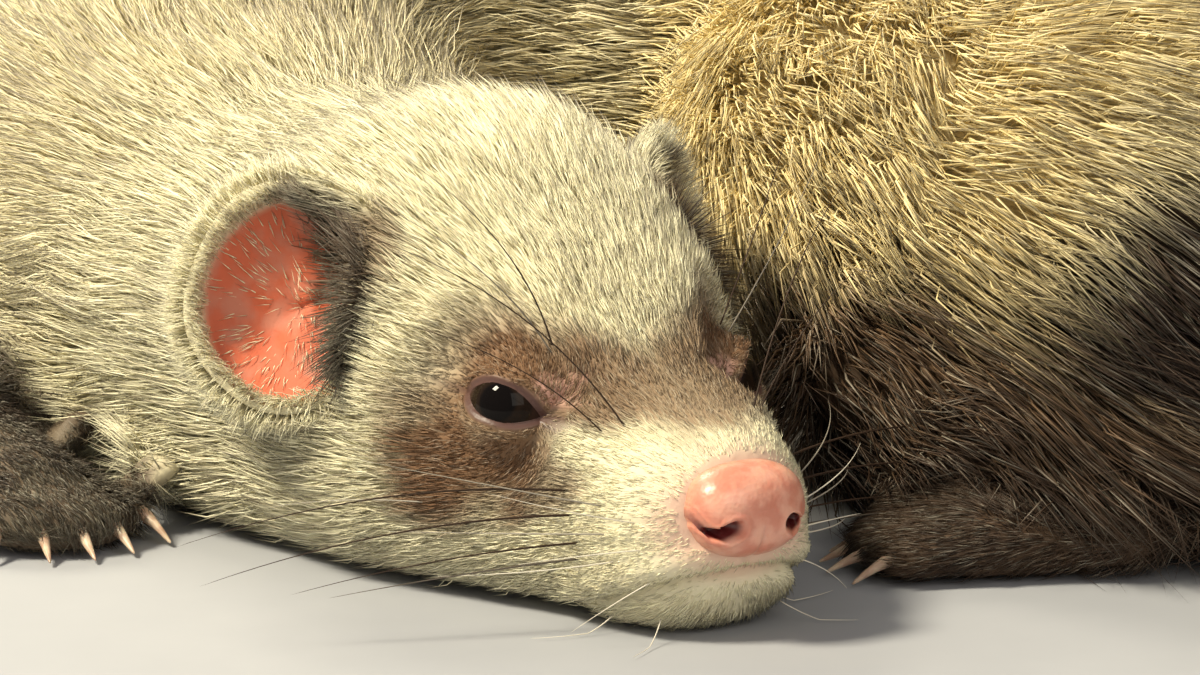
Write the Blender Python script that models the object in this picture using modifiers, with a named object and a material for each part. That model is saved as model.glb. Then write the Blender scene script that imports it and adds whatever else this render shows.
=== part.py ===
"""A life-size ferret lying curled on the floor, its chin down beside its own flank.

The animal is one lofted body from muzzle to tail tip, laid along a spine that bends back on
itself, and divided by thin plane cuts. Nose, jaw, eyes, ears, legs, paws and claws are solids
of their own. Lengths below are millimetres; the model is built in metres.
"""

import math

import bmesh
import bpy
import numpy as np
from mathutils import Matrix, Vector

MM = 0.001
GAP = 0.35  # air left between two pieces that meet

# The object's origin is on the floor under the middle of its box, at this place of the layout
ORIGIN = (33.88, 56.57)

# The spine seen from above: it starts at the nose tip and runs to the tail tip
NOSE_TIP = (14.9, 0.0)
HEAD_BEARING = 122.0  # degrees, from the nose towards the nape
SPINE = (  # stretch, length, turn in degrees (negative is clockwise from above)
    ("head", 70, 0),
    ("neck", 42, -12),
    ("shoulders", 24, -16),
    ("chest", 70, -94),
    ("back", 66, -92),
    ("flank", 42, 22),
    ("hips", 42, 24),
    ("rump", 28, 6),
    ("tail", 130, -50),
)

# Outline of the body with its coat: distance from the nose tip, half width, top, level of the
# widest place and bottom. A bottom under the floor is cut off there and makes a flat to lie on.
OUTLINE = (
    (2.0, 3.6, 16.0, 11.8, 8.6),
    (4.0, 6.8, 17.8, 10.8, 3.4),
    (7.0, 9.1, 19.2, 9.8, 0.4),
    (12.0, 11.2, 21.6, 9.6, -0.6),
    (18.0, 12.9, 24.8, 10.0, -0.9),
    (25.0, 16.0, 30.4, 11.5, -1.2),
    (33.0, 19.6, 37.0, 13.0, -1.5),
    (42.0, 22.8, 42.6, 14.0, -2.0),
    (52.0, 24.8, 45.0, 14.0, -2.6),
    (60.0, 26.0, 44.2, 14.0, -3.0),
    (70.0, 27.2, 42.2, 14.5, -3.0),
    (84.0, 29.0, 42.0, 16.0, -3.0),
    (100.0, 31.5, 45.5, 19.0, -3.0),
    (125.0, 34.0, 51.5, 22.5, -3.0),
    (150.0, 34.0, 55.5, 24.5, -3.0),
    (190.0, 32.5, 58.0, 25.5, -2.8),
    (250.0, 32.0, 57.0, 23.5, -2.6),
    (300.0, 33.0, 57.0, 22.5, -2.6),
    (336.0, 33.0, 56.5, 23.0, -2.4),
    (360.0, 29.5, 50.0, 22.0, -1.8),
    (376.0, 21.0, 36.0, 17.0, -1.2),
    (386.0, 14.5, 26.0, 13.0, -0.8),
    (402.0, 12.0, 21.5, 11.0, -0.6),
    (442.0, 11.5, 20.5, 10.5, -0.6),
    (482.0, 9.6, 17.5, 9.0, -0.5),
    (504.0, 6.0, 12.5, 7.0, 0.4),
    (513.0, 1.6, 8.4, 6.4, 4.4),
)
FULLNESS_ABOVE, FULLNESS_BELOW = 2.25, 2.6  # 2 is an ellipse, more is squarer

# Where the body is cut across: name, start and end along the spine, rings, points round a ring
LENGTHS = (
    ("head", 2.0, 66.0, 26, 22),
    ("neck", 66.0, 112.0, 8, 20),
    ("chest", 112.0, 182.0, 10, 20),
    ("back", 182.0, 252.0, 10, 20),
    ("belly", 252.0, 318.0, 10, 20),
    ("rump", 318.0, 384.0, 11, 20),
    ("tail_base", 384.0, 428.0, 6, 12),
    ("tail_middle", 428.0, 472.0, 6, 12),
    ("tail_tip", 472.0, 513.0, 7, 12),
)

# Soft forms of the head, made alike on both sides: place (back from the nose, out, up), reach, push
HEAD_FORMS = (
    ("whisker pad", (8.5, 9.0, 10.0), 5.5, 0.9),
    ("cheek", (38.0, 20.5, 14.0), 12.0, 1.2),
    ("eye hollow", (24.5, 13.0, 20.5), 5.5, -1.3),
    ("brow", (28.0, 9.5, 28.0), 6.5, 1.1),
    ("stop", (19.0, 0.0, 25.0), 8.0, -0.7),
    ("crown", (52.0, 0.0, 39.0), 14.0, 0.8),
)

EYE_RADIUS = 4.2
EYE_PLACE = (25.4, 11.4, 19.2)
EYE_FACES = (0.35, 0.85, 0.3)  # forward, out, up

MOUTH_FRONT_LEVEL, MOUTH_CORNER_LEVEL, MOUTH_CORNER = 7.2, 2.2, 20.0

NOSE_PLACE = (3.6, 0.0, 12.4)
NOSE_HALF = (4.0, 5.7, 4.3)  # half depth, half width, half height

EAR_PLACE = (48.0, 22.8, 27.2)
EAR_HALF = (7.0, 11.1, 11.1)  # depth of the cup, half width, half height
EAR_OPENING = (0.60, 0.72, 0.30)  # the way the cup faces: forward, out, up
EAR_LEAN = (-0.15, 0.35, 1.0)  # the way its tip points: forward, out, up
EAR_RIM = 0.3  # how far past the middle of the egg the rim stands, as a share of its depth
EAR_WALL = 1.7

# Legs: joint places (x, y, height) and flesh radius, in the layout's own coordinates
RIGHT_FORELEG = ((-60, 106, 27, 13), (-68, 92, 14, 11), (-68, 75, 8.0, 8.2), (-63, 60, 6.8, 7.2))
LEFT_FORELEG = ((-17, 118, 22, 11), (-4, 106, 12, 8.5), (2.5, 93, 6.6, 6.2), (5.0, 84, 5.6, 5.4))
LEFT_HIND_LEG = ((44, 56, 26, 14), (27, 54, 14.5, 11), (38, 38, 12, 9.5), (50, 30, 7.8, 7.6))
RIGHT_HIND_LEG = ((78, 74, 26, 15), (84, 92, 18, 11), (94, 77, 12, 9.0), (100, 64, 7.6, 7.4))

# Paws: heel, toe end, half width at the toes, sole radius, toe radius
RIGHT_FOREPAW = ((-62, 57, 5.6), (-52, 36, 2.5), 7.2, 6.2, 3.0)
LEFT_FOREPAW = ((5.6, 82, 4.3), (10, 64, 2.0), 4.6, 4.8, 2.5)
LEFT_HIND_FOOT = ((51, 28, 5.7), (27, 30, 2.5), 7.0, 6.4, 3.0)
RIGHT_HIND_FOOT = ((100, 61, 5.7), (94, 87, 2.5), 7.0, 6.4, 3.0)

LEG_VOXEL, LEG_TRIANGLES = 1.3, 250
PAW_VOXEL, PAW_TRIANGLES = 1.0, 210
TOES = 5
PALM = 0.55  # the middle of the palm, as a share of the way from heel to toes
TOE_SPREAD_AT_ROOT, TOE_SHORTER_OUTSIDE = 0.62, 3.2
CLAW_LENGTH, CLAW_RADIUS, CLAW_HOOK = 5.0, 0.95, 2.6

CREAM = (0.78, 0.66, 0.42)
GOLD = (0.62, 0.47, 0.24)
SABLE = (0.09, 0.055, 0.035)
PINK = (0.86, 0.42, 0.36)
EYE_BLACK = (0.012, 0.010, 0.012)
HORN = (0.55, 0.42, 0.32)


def clear_scene():
    """Empty the scene of the objects it starts with."""
    for old in list(bpy.data.objects):
        bpy.data.objects.remove(old)


def new_collection(name):
    made = bpy.data.collections.new(name)
    bpy.context.scene.collection.children.link(made)
    return made


def material(name, colour, roughness):
    """A plain Principled surface for one kind of covering."""
    made = bpy.data.materials.new(name)
    made.use_nodes = True
    shader = made.node_tree.nodes["Principled BSDF"]
    shader.inputs["Base Color"].default_value = (*colour, 1.0)
    shader.inputs["Roughness"].default_value = roughness
    return made


def add_object(name, mesh, collection, surface=None):
    if surface is not None:
        mesh.materials.append(surface)
    made = bpy.data.objects.new(name, mesh)
    collection.objects.link(made)
    return made


def as_cutter(obj):
    """A helper that shapes others: it is never rendered."""
    obj.hide_render = True
    obj.display_type = "WIRE"
    return obj


def from_bmesh(bm, name):
    mesh = bpy.data.meshes.new(name)
    bm.to_mesh(mesh)
    bm.free()
    return mesh


def boolean(obj, cutter, operation):
    cut = obj.modifiers.new(f"{operation.lower()} {cutter.name}", "BOOLEAN")
    cut.operation = operation
    cut.object = cutter
    cut.solver = "EXACT"


def spine_path(step=0.25):
    """Distance, place and bearing at close steps along the spine."""
    bearing = HEAD_BEARING
    place = np.array(NOSE_TIP)
    distance = 0.0
    rows = [(distance, *place, bearing)]
    for _, length, turn in SPINE:
        count = round(length / step)
        for _ in range(count):
            middle = math.radians(bearing + turn / count / 2)
            place = place + length / count * np.array((math.cos(middle), math.sin(middle)))
            bearing += turn / count
            distance += length / count
            rows.append((distance, *place, bearing))
    return np.array(rows)


PATH = spine_path()


def spine_at(distance):
    """Place on the floor plan, and the unit vectors to the tail and to the animal's left."""
    x, y, bearing = (np.interp(distance, PATH[:, 0], PATH[:, k]) for k in (1, 2, 3))
    tailward = np.array((math.cos(math.radians(bearing)), math.sin(math.radians(bearing))))
    left = np.array((tailward[1], -tailward[0]))
    return np.array((x, y)), tailward, left


def smooth_between(distances, values, wanted):
    """A curve through the values that never overshoots them."""
    distances, values = np.array(distances, float), np.array(values, float)
    step = np.diff(distances)
    slope = np.diff(values) / step
    tangent = np.zeros(len(values))
    same_way = slope[:-1] * slope[1:] > 0
    weight_a, weight_b = 2 * step[1:] + step[:-1], step[1:] + 2 * step[:-1]
    inner = tangent[1:-1]
    inner[same_way] = (weight_a + weight_b)[same_way] / (
        weight_a[same_way] / slope[:-1][same_way] + weight_b[same_way] / slope[1:][same_way]
    )
    tangent[0], tangent[-1] = slope[0], slope[-1]
    k = int(np.clip(np.searchsorted(distances, wanted) - 1, 0, len(step) - 1))
    share = (wanted - distances[k]) / step[k]
    return (
        (1 + 2 * share) * (1 - share) ** 2 * values[k]
        + share * (1 - share) ** 2 * step[k] * tangent[k]
        + share**2 * (3 - 2 * share) * values[k + 1]
        + share**2 * (share - 1) * step[k] * tangent[k + 1]
    )


def outline_at(distance):
    """Half width, top, widest level and bottom of the body there."""
    columns = list(zip(*OUTLINE))
    return [smooth_between(columns[0], column, distance) for column in columns[1:]]


def body_ring(distance, points, swell=0.0):
    """Points round one cross-section, in layout millimetres."""
    place, _, left = spine_at(distance)
    half, top, level, bottom = outline_at(distance)
    ring = []
    for k in range(points):
        turn = 2 * math.pi * k / points
        c, s = math.cos(turn), math.sin(turn)
        power = 2 / (FULLNESS_ABOVE if s > 0 else FULLNESS_BELOW)
        out = math.copysign(abs(c) ** power, c) * (half + swell)
        rise = (top - level if s > 0 else level - bottom) + swell
        height = level + math.copysign(abs(s) ** power, s) * rise
        x, y = place + left * out
        ring.append((x, y, max(height, -swell)))
    return ring


def to_model(point):
    """Layout millimetres to model metres."""
    return Vector((point[0] - ORIGIN[0], point[1] - ORIGIN[1], point[2])) * MM


def loft(rings):
    """A closed solid through rings of the same number of points."""
    bm = bmesh.new()
    rows = [[bm.verts.new(to_model(p)) for p in ring] for ring in rings]
    count = len(rows[0])
    for lower, upper in zip(rows, rows[1:]):
        for k in range(count):
            after = (k + 1) % count
            bm.faces.new((lower[k], lower[after], upper[after], upper[k]))
    bm.faces.new(list(reversed(rows[0])))
    bm.faces.new(rows[-1])
    bmesh.ops.recalc_face_normals(bm, faces=bm.faces)
    return bm


def head_point(back, out, up):
    """A place given in the head's own frame (out is to the animal's left) as layout millimetres."""
    place, tailward, left = spine_at(0.0)
    x, y = place + tailward * back + left * out
    return np.array((x, y, up))


def head_vector(forward, out, up):
    """A direction in the head's frame as a unit vector of the model."""
    _, tailward, left = spine_at(0.0)
    x, y = -tailward * forward + left * out
    return Vector((x, y, up)).normalized()


def shape_head(bm):
    """Push the soft forms of the head out or in, alike on both sides."""
    bm.normal_update()
    moves = {}
    for _, (back, out, up), reach, push in HEAD_FORMS:
        for side in (1, -1):
            centre = to_model(head_point(back, side * out, up))
            for vert in bm.verts:
                near = (vert.co - centre).length / (reach * MM)
                share = push * MM * math.exp(-(near**2)) * (0.5 if out == 0.0 else 1.0)
                moves[vert] = moves.get(vert, Vector()) + vert.normal * share
    for vert, move in moves.items():
        vert.co += move
        vert.co.z = max(vert.co.z, 0.0)


def make_lengths(parts, coat):
    """The body cut into named lengths, each a closed loft."""
    made = {}
    for name, start, end, rings, points in LENGTHS:
        first = start + (GAP / 2 if start > LENGTHS[0][1] else 0.0)
        last = end - (GAP / 2 if end < LENGTHS[-1][2] else 0.0)
        bm = loft([body_ring(d, points) for d in np.linspace(first, last, rings)])
        if name == "head":
            shape_head(bm)
        mesh = from_bmesh(bm, name)
        made[name] = add_object(name, mesh, parts, coat[name])
        mesh.shade_smooth()
    return made


def body_cutter(cutters):
    """The whole body a little swollen, which legs and ears are cut back from."""
    start, end = LENGTHS[0][1], LENGTHS[-1][2]
    bm = loft([body_ring(d, 24, swell=GAP) for d in np.arange(start, end, 4.0)])
    return as_cutter(add_object("body_cutter", from_bmesh(bm, "body_cutter"), cutters))


def ellipsoid(name, centre, half, axes=None, segments=20, rings=12):
    """A sphere stretched to half sizes along its own axes."""
    bm = bmesh.new()
    bmesh.ops.create_uvsphere(bm, u_segments=segments, v_segments=rings, radius=1.0)
    scale = Matrix.Diagonal((*(h * MM for h in half), 1.0))
    turn = axes.to_4x4() if axes is not None else Matrix.Identity(4)
    bmesh.ops.transform(bm, matrix=Matrix.Translation(centre) @ turn @ scale, verts=bm.verts)
    return from_bmesh(bm, name)


def head_axes(outward, lean_up=(0.0, 0.0, 1.0)):
    """Axes with x along the outward direction, y sideways and z as near to lean_up as it can be."""
    sideways = Vector(lean_up).cross(outward).normalized()
    upward = outward.cross(sideways)
    return Matrix((outward, sideways, upward)).transposed()


def add_eyes(parts, cutters, head, surface):
    for name, side in (("eye_left", 1), ("eye_right", -1)):
        back, out, up = EYE_PLACE
        centre = to_model(head_point(back, side * out, up))
        forward, sideways, upward = EYE_FACES
        axes = head_axes(head_vector(forward, side * sideways, upward))
        ball = ellipsoid(name, centre, (EYE_RADIUS,) * 3, axes, 14, 8)
        add_object(name, ball, parts, surface)
        ball.shade_smooth()
        hollow = ellipsoid(f"{name}_socket", centre, (EYE_RADIUS + GAP,) * 3, axes, 14, 8)
        boolean(head, as_cutter(add_object(f"{name}_socket", hollow, cutters)), "DIFFERENCE")


def add_nose(parts, cutters, head, surface):
    """The bare nose pad, let into the front of the muzzle."""
    centre = to_model(head_point(*NOSE_PLACE))
    axes = head_axes(head_vector(1.0, 0.0, 0.0))
    pad = ellipsoid("nose", centre, NOSE_HALF, axes, 14, 8)
    add_object("nose", pad, parts, surface)
    pad.shade_smooth()
    seat = ellipsoid("nose_seat", centre, [h + GAP for h in NOSE_HALF], axes, 14, 8)
    boolean(head, as_cutter(add_object("nose_seat", seat, cutters)), "DIFFERENCE")


def mouth_block(name, cutters, swell):
    """The space under the mouth line and ahead of the mouth corner."""
    slope = (MOUTH_FRONT_LEVEL - MOUTH_CORNER_LEVEL) / MOUTH_CORNER
    side_view = (
        (-10.0, MOUTH_FRONT_LEVEL + 10.0 * slope + swell),
        (MOUTH_CORNER + swell, MOUTH_CORNER_LEVEL - slope * swell + swell),
        (MOUTH_CORNER + 4.0 + swell, -8.0),
        (-10.0, -8.0),
    )
    wide = 30.0
    bm = bmesh.new()
    near, far = (
        [bm.verts.new(to_model(head_point(back, side * wide, up))) for back, up in side_view]
        for side in (1, -1)
    )
    bm.faces.new(near)
    bm.faces.new(list(reversed(far)))
    for k in range(len(near)):
        after = (k + 1) % len(near)
        bm.faces.new((near[after], near[k], far[k], far[after]))
    bmesh.ops.recalc_face_normals(bm, faces=bm.faces)
    return as_cutter(add_object(name, from_bmesh(bm, name), cutters))


def add_jaw(parts, cutters, head):
    """The lower jaw, parted from the head along the mouth line."""
    jaw = add_object("jaw", head.data.copy(), parts)
    nose_seat = bpy.data.objects["nose_seat"]
    boolean(jaw, nose_seat, "DIFFERENCE")
    boolean(jaw, mouth_block("jaw_space", cutters, 0.0), "INTERSECT")
    boolean(head, mouth_block("mouth_line", cutters, GAP), "DIFFERENCE")


def ear_axes(side):
    """Where an ear stands and its axes: x out of the cup's opening, z up the ear."""
    outward, lean = (head_vector(f, side * out, up) for f, out, up in (EAR_OPENING, EAR_LEAN))
    axes = head_axes(outward, lean)
    back, out, up = EAR_PLACE
    centre = to_model(head_point(back, side * out, up))
    return centre, axes


def ear_cup(name, side):
    """The back half of an egg shape, open to the front and outside."""
    centre, axes = ear_axes(side)
    bm = bmesh.new()
    bmesh.ops.create_uvsphere(bm, u_segments=18, v_segments=10, radius=1.0)
    bmesh.ops.rotate(bm, verts=bm.verts, matrix=Matrix.Rotation(math.pi / 2, 3, "Y"))
    front = [v for v in bm.verts if v.co.x > EAR_RIM]
    bmesh.ops.delete(bm, geom=front, context="VERTS")
    scale = Matrix.Diagonal((*(h * MM for h in EAR_HALF), 1.0))
    place = Matrix.Translation(centre) @ axes.to_4x4() @ scale
    bmesh.ops.transform(bm, matrix=place, verts=bm.verts)
    return from_bmesh(bm, name)


def add_ears(parts, cutters, head, surface):
    """Two cups with walls of even thickness, sunk into hollows in the sides of the head."""
    for name, side in (("ear_left", 1), ("ear_right", -1)):
        mesh = ear_cup(name, side)
        ear = add_object(name, mesh, parts, surface)
        wall = ear.modifiers.new("wall", "SOLIDIFY")
        wall.thickness = EAR_WALL * MM
        wall.offset = -1.0
        mesh.shade_smooth()
        centre, axes = ear_axes(side)
        room = ellipsoid(f"{name}_hollow", centre, [h + GAP for h in EAR_HALF], axes, 14, 8)
        boolean(head, as_cutter(add_object(f"{name}_hollow", room, cutters)), "DIFFERENCE")


def capsule_chain(joints):
    """Tapered rods and balls along a chain of joints, as one loose mesh."""
    bm = bmesh.new()
    for x, y, z, radius in joints:
        ball = Matrix.Translation(to_model((x, y, z))) @ Matrix.Scale(radius * MM, 4)
        bmesh.ops.create_uvsphere(bm, u_segments=16, v_segments=10, radius=1.0, matrix=ball)
    for (*start, radius_a), (*end, radius_b) in zip(joints, joints[1:]):
        a, b = to_model(start), to_model(end)
        along = b - a
        turn = along.to_track_quat("Z", "Y").to_matrix().to_4x4()
        place = Matrix.Translation((a + b) / 2) @ turn
        bmesh.ops.create_cone(
            bm,
            cap_ends=True,
            segments=16,
            radius1=radius_a * MM,
            radius2=radius_b * MM,
            depth=along.length,
            matrix=place,
        )
    return bm


def cut_at_floor(bm):
    """Take away what is under the floor and close the cut, which leaves a flat to stand on."""
    everything = list(bm.verts) + list(bm.edges) + list(bm.faces)
    cut = bmesh.ops.bisect_plane(
        bm, geom=everything, plane_co=(0, 0, 0), plane_no=(0, 0, -1), clear_outer=True, dist=1e-7
    )
    rim = [e for e in cut["geom_cut"] if isinstance(e, bmesh.types.BMEdge)]
    bmesh.ops.holes_fill(bm, edges=rim, sides=0)
    bmesh.ops.triangulate(bm, faces=bm.faces)
    bmesh.ops.recalc_face_normals(bm, faces=bm.faces)


def flesh(name, bm, voxel, triangles):
    """Loose overlapping forms melted into one smooth skin of few faces, flat at the floor."""
    source = bpy.data.objects.new(name, from_bmesh(bm, name))
    bpy.context.scene.collection.objects.link(source)
    melt = source.modifiers.new("melt", "REMESH")
    melt.mode = "VOXEL"
    melt.voxel_size = voxel * MM
    soften = source.modifiers.new("soften", "SMOOTH")
    soften.iterations = 6
    graph = bpy.context.evaluated_depsgraph_get()
    squares = len(source.evaluated_get(graph).data.polygons)
    fewer = source.modifiers.new("fewer", "DECIMATE")
    fewer.ratio = triangles / (2 * squares)
    graph.update()
    mesh = bpy.data.meshes.new_from_object(source.evaluated_get(graph))
    bpy.data.objects.remove(source)
    out = bmesh.new()
    out.from_mesh(mesh)
    cut_at_floor(out)
    out.to_mesh(mesh)
    out.free()
    mesh.name = name
    return mesh


def add_leg(name, joints, parts, cutters, cutter, surface):
    mesh = flesh(name, capsule_chain(joints), LEG_VOXEL, LEG_TRIANGLES)
    leg = add_object(name, mesh, parts, surface)
    boolean(leg, cutter, "DIFFERENCE")
    mesh.shade_smooth()
    return leg


def toe_places(paw):
    """Where each toe ends, fanned across the front of the paw, and the way it points."""
    heel, tip, half, _, _ = paw
    heel, tip = np.array(heel, float), np.array(tip, float)
    ahead = (tip - heel) / np.linalg.norm(tip - heel)
    side = np.array((-ahead[1], ahead[0], 0.0))
    side /= np.linalg.norm(side)
    rows = []
    for k in range(TOES):
        share = 2 * k / (TOES - 1) - 1
        root = heel + (tip - heel) * PALM + side * share * half * TOE_SPREAD_AT_ROOT
        end = tip + side * share * half - ahead * TOE_SHORTER_OUTSIDE * share**2
        rows.append((root, end))
    return rows


def paw_form(paw):
    """Sole, palm and five toes of one paw as loose forms."""
    heel, tip, half, sole, toe = paw
    heel_v, tip_v = np.array(heel, float), np.array(tip, float)
    middle = heel_v + (tip_v - heel_v) * PALM
    palm_half = half * 0.5
    side = np.array((-(tip_v - heel_v)[1], (tip_v - heel_v)[0], 0.0))
    side /= np.linalg.norm(side)
    bm = capsule_chain(((*heel, sole), (*middle, sole * 0.86)))
    rods = [((*(middle + side * palm_half), sole * 0.7), (*(middle - side * palm_half), sole * 0.7))]
    rods += [((*root, toe * 1.1), (*end, toe)) for root, end in toe_places(paw)]
    for rod in rods:
        more = capsule_chain(rod)
        mesh = bpy.data.meshes.new("rod")
        more.to_mesh(mesh)
        more.free()
        bm.from_mesh(mesh)
        bpy.data.meshes.remove(mesh)
    return bm


def claw_mesh(name, root, end, swell=0.0):
    """A claw that leaves the toe and bends to the floor: a tapered curve made a mesh."""
    ahead = (end - root) / np.linalg.norm(end - root)
    drop = np.array((0.0, 0.0, 1.0))
    line = bpy.data.curves.new(name, "CURVE")
    line.dimensions = "3D"
    line.bevel_depth = MM
    line.bevel_resolution = 1
    line.use_fill_caps = True
    spline = line.splines.new("POLY")
    shares = (0.0, 0.5, 1.0)
    spline.points.add(len(shares) - 1)
    start = end + ahead * 0.6 + drop * 0.5
    for share, point in zip(shares, spline.points):
        place = start + ahead * CLAW_LENGTH * share - drop * (CLAW_HOOK * share**2 + 0.2)
        place[2] = max(place[2], CLAW_RADIUS * (1 - share) + 0.5)
        point.co = (*to_model(place), 1.0)
        point.radius = (CLAW_RADIUS * (1 - 0.82 * share)) + swell
    source = bpy.data.objects.new(name, line)
    bpy.context.scene.collection.objects.link(source)
    graph = bpy.context.evaluated_depsgraph_get()
    mesh = bpy.data.meshes.new_from_object(source.evaluated_get(graph))
    bpy.data.objects.remove(source)
    bm = bmesh.new()
    bm.from_mesh(mesh)
    bmesh.ops.remove_doubles(bm, verts=bm.verts, dist=1e-6)
    bmesh.ops.recalc_face_normals(bm, faces=bm.faces)
    bm.to_mesh(mesh)
    bm.free()
    return mesh


def add_paw(name, paw, parts, cutters, leg, cutter, surfaces):
    """A paw with its claws. The leg above is cut back from it, and it from its claws."""
    mesh = flesh(name, paw_form(paw), PAW_VOXEL, PAW_TRIANGLES)
    made = add_object(name, mesh, parts, surfaces["sable"])
    swollen = as_cutter(add_object(f"{name}_cutter", mesh.copy(), cutters))
    grow = swollen.modifiers.new("grow", "DISPLACE")
    grow.strength = GAP * 1.3 * MM
    grow.mid_level = 0.0
    boolean(leg, swollen, "DIFFERENCE")
    boolean(made, cutter, "DIFFERENCE")
    sockets = bmesh.new()
    for k, (root, end) in enumerate(toe_places(paw)):
        claw_name = f"{name}_claw_{k + 1}"
        claw = claw_mesh(claw_name, root, end)
        add_object(claw_name, claw, parts, surfaces["horn"])
        socket = claw_mesh(claw_name, root, end, swell=GAP)
        sockets.from_mesh(socket)
        bpy.data.meshes.remove(socket)
    holes = as_cutter(add_object(f"{name}_sockets", from_bmesh(sockets, "sockets"), cutters))
    boolean(made, holes, "DIFFERENCE")
    mesh.shade_smooth()


def main():
    clear_scene()
    parts, cutters = new_collection("ferret"), new_collection("cutters")
    cream = material("cream_coat", CREAM, 0.85)
    gold = material("golden_coat", GOLD, 0.85)
    sable = material("sable_coat", SABLE, 0.85)
    pink = material("bare_pink_skin", PINK, 0.5)
    black = material("eye", EYE_BLACK, 0.08)
    surfaces = {"sable": sable, "horn": material("claw_horn", HORN, 0.45)}
    coat = dict.fromkeys(("head", "neck"), cream)
    coat.update(dict.fromkeys(("chest", "back", "belly", "rump"), gold))
    coat.update(dict.fromkeys(("tail_base", "tail_middle", "tail_tip"), sable))

    lengths = make_lengths(parts, coat)
    head = lengths["head"]
    cutter = body_cutter(cutters)
    add_eyes(parts, cutters, head, black)
    add_nose(parts, cutters, head, pink)
    add_jaw(parts, cutters, head)
    add_ears(parts, cutters, head, pink)
    for leg_name, joints, paw_name, paw in (
        ("right_foreleg", RIGHT_FORELEG, "right_forepaw", RIGHT_FOREPAW),
        ("left_foreleg", LEFT_FORELEG, "left_forepaw", LEFT_FOREPAW),
        ("right_hind_leg", RIGHT_HIND_LEG, "right_hind_foot", RIGHT_HIND_FOOT),
        ("left_hind_leg", LEFT_HIND_LEG, "left_hind_foot", LEFT_HIND_FOOT),
    ):
        leg = add_leg(leg_name, joints, parts, cutters, cutter, sable)
        add_paw(paw_name, paw, parts, cutters, leg, cutter, surfaces)


main()
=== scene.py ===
# %% [markdown]
# A ferret at life size, lying curled with its chin on the floor. The solids of the frame give its
# outline out to the tips of the coat. Here they are dressed: one skin inside them, a coat of real
# locks over it, wet eyes, a bare nose, thin ears, whiskers and claws. Lengths are worked out in
# millimetres in the same layout as the solids, and turned into metres as each mesh is written.

# %% The frame
import math

import bpy
import numpy as np
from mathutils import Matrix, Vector
from mathutils.bvhtree import BVHTree
from mathutils.kdtree import KDTree


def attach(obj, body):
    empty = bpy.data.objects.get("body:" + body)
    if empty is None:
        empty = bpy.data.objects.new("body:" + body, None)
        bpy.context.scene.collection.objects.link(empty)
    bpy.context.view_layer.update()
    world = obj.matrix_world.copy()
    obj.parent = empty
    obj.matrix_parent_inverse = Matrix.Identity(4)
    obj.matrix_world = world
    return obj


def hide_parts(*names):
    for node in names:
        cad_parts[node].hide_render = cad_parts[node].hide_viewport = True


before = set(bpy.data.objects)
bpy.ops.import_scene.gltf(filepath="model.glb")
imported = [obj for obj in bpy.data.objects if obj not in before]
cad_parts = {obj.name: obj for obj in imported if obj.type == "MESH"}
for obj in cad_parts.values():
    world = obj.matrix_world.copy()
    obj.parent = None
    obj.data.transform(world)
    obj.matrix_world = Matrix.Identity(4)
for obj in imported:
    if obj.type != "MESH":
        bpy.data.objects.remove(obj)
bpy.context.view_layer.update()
print("nodes in the frame:", len(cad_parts))

# %% [markdown]
# The whole animal hangs on one line seen from above: its spine, from the nose tip to the tail tip.
# It could be drawn by hand, but a list of stretches with a length and a turn is easier to read and
# bends evenly. The same list shaped the solids, so whatever is placed by it fits them.

# %% The spine and the head's own frame
MM = 0.001
ORIGIN = np.array((33.88, 56.57, 0.0))
NOSE_TIP = np.array((14.9, 0.0))
HEAD_BEARING = 122.0
SPINE = (
    ("head", 70, 0),
    ("neck", 42, -12),
    ("shoulders", 24, -16),
    ("chest", 70, -94),
    ("back", 66, -92),
    ("flank", 42, 22),
    ("hips", 42, 24),
    ("rump", 28, 6),
    ("tail", 130, -50),
)
OUTLINE = np.array((
    (2.0, 3.6, 16.0, 11.8, 8.6),
    (4.0, 6.8, 17.8, 10.8, 3.4),
    (7.0, 9.1, 19.2, 9.8, 0.4),
    (12.0, 11.2, 21.6, 9.6, -0.6),
    (18.0, 12.9, 24.8, 10.0, -0.9),
    (25.0, 16.0, 30.4, 11.5, -1.2),
    (33.0, 19.6, 37.0, 13.0, -1.5),
    (42.0, 22.8, 42.6, 14.0, -2.0),
    (52.0, 24.8, 45.0, 14.0, -2.6),
    (60.0, 26.0, 44.2, 14.0, -3.0),
    (70.0, 27.2, 42.2, 14.5, -3.0),
    (84.0, 29.0, 42.0, 16.0, -3.0),
    (100.0, 31.5, 45.5, 19.0, -3.0),
    (125.0, 34.0, 51.5, 22.5, -3.0),
    (150.0, 34.0, 55.5, 24.5, -3.0),
    (190.0, 32.5, 58.0, 25.5, -2.8),
    (250.0, 32.0, 57.0, 23.5, -2.6),
    (300.0, 33.0, 57.0, 22.5, -2.6),
    (336.0, 33.0, 56.5, 23.0, -2.4),
    (360.0, 29.5, 50.0, 22.0, -1.8),
    (376.0, 21.0, 36.0, 17.0, -1.2),
    (386.0, 14.5, 26.0, 13.0, -0.8),
    (402.0, 12.0, 21.5, 11.0, -0.6),
    (442.0, 11.5, 20.5, 10.5, -0.6),
    (482.0, 9.6, 17.5, 9.0, -0.5),
    (504.0, 6.0, 12.5, 7.0, 0.4),
    (513.0, 1.6, 8.4, 6.4, 4.4),
))
FULLNESS = 2.35  # a little squarer than an ellipse
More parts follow.
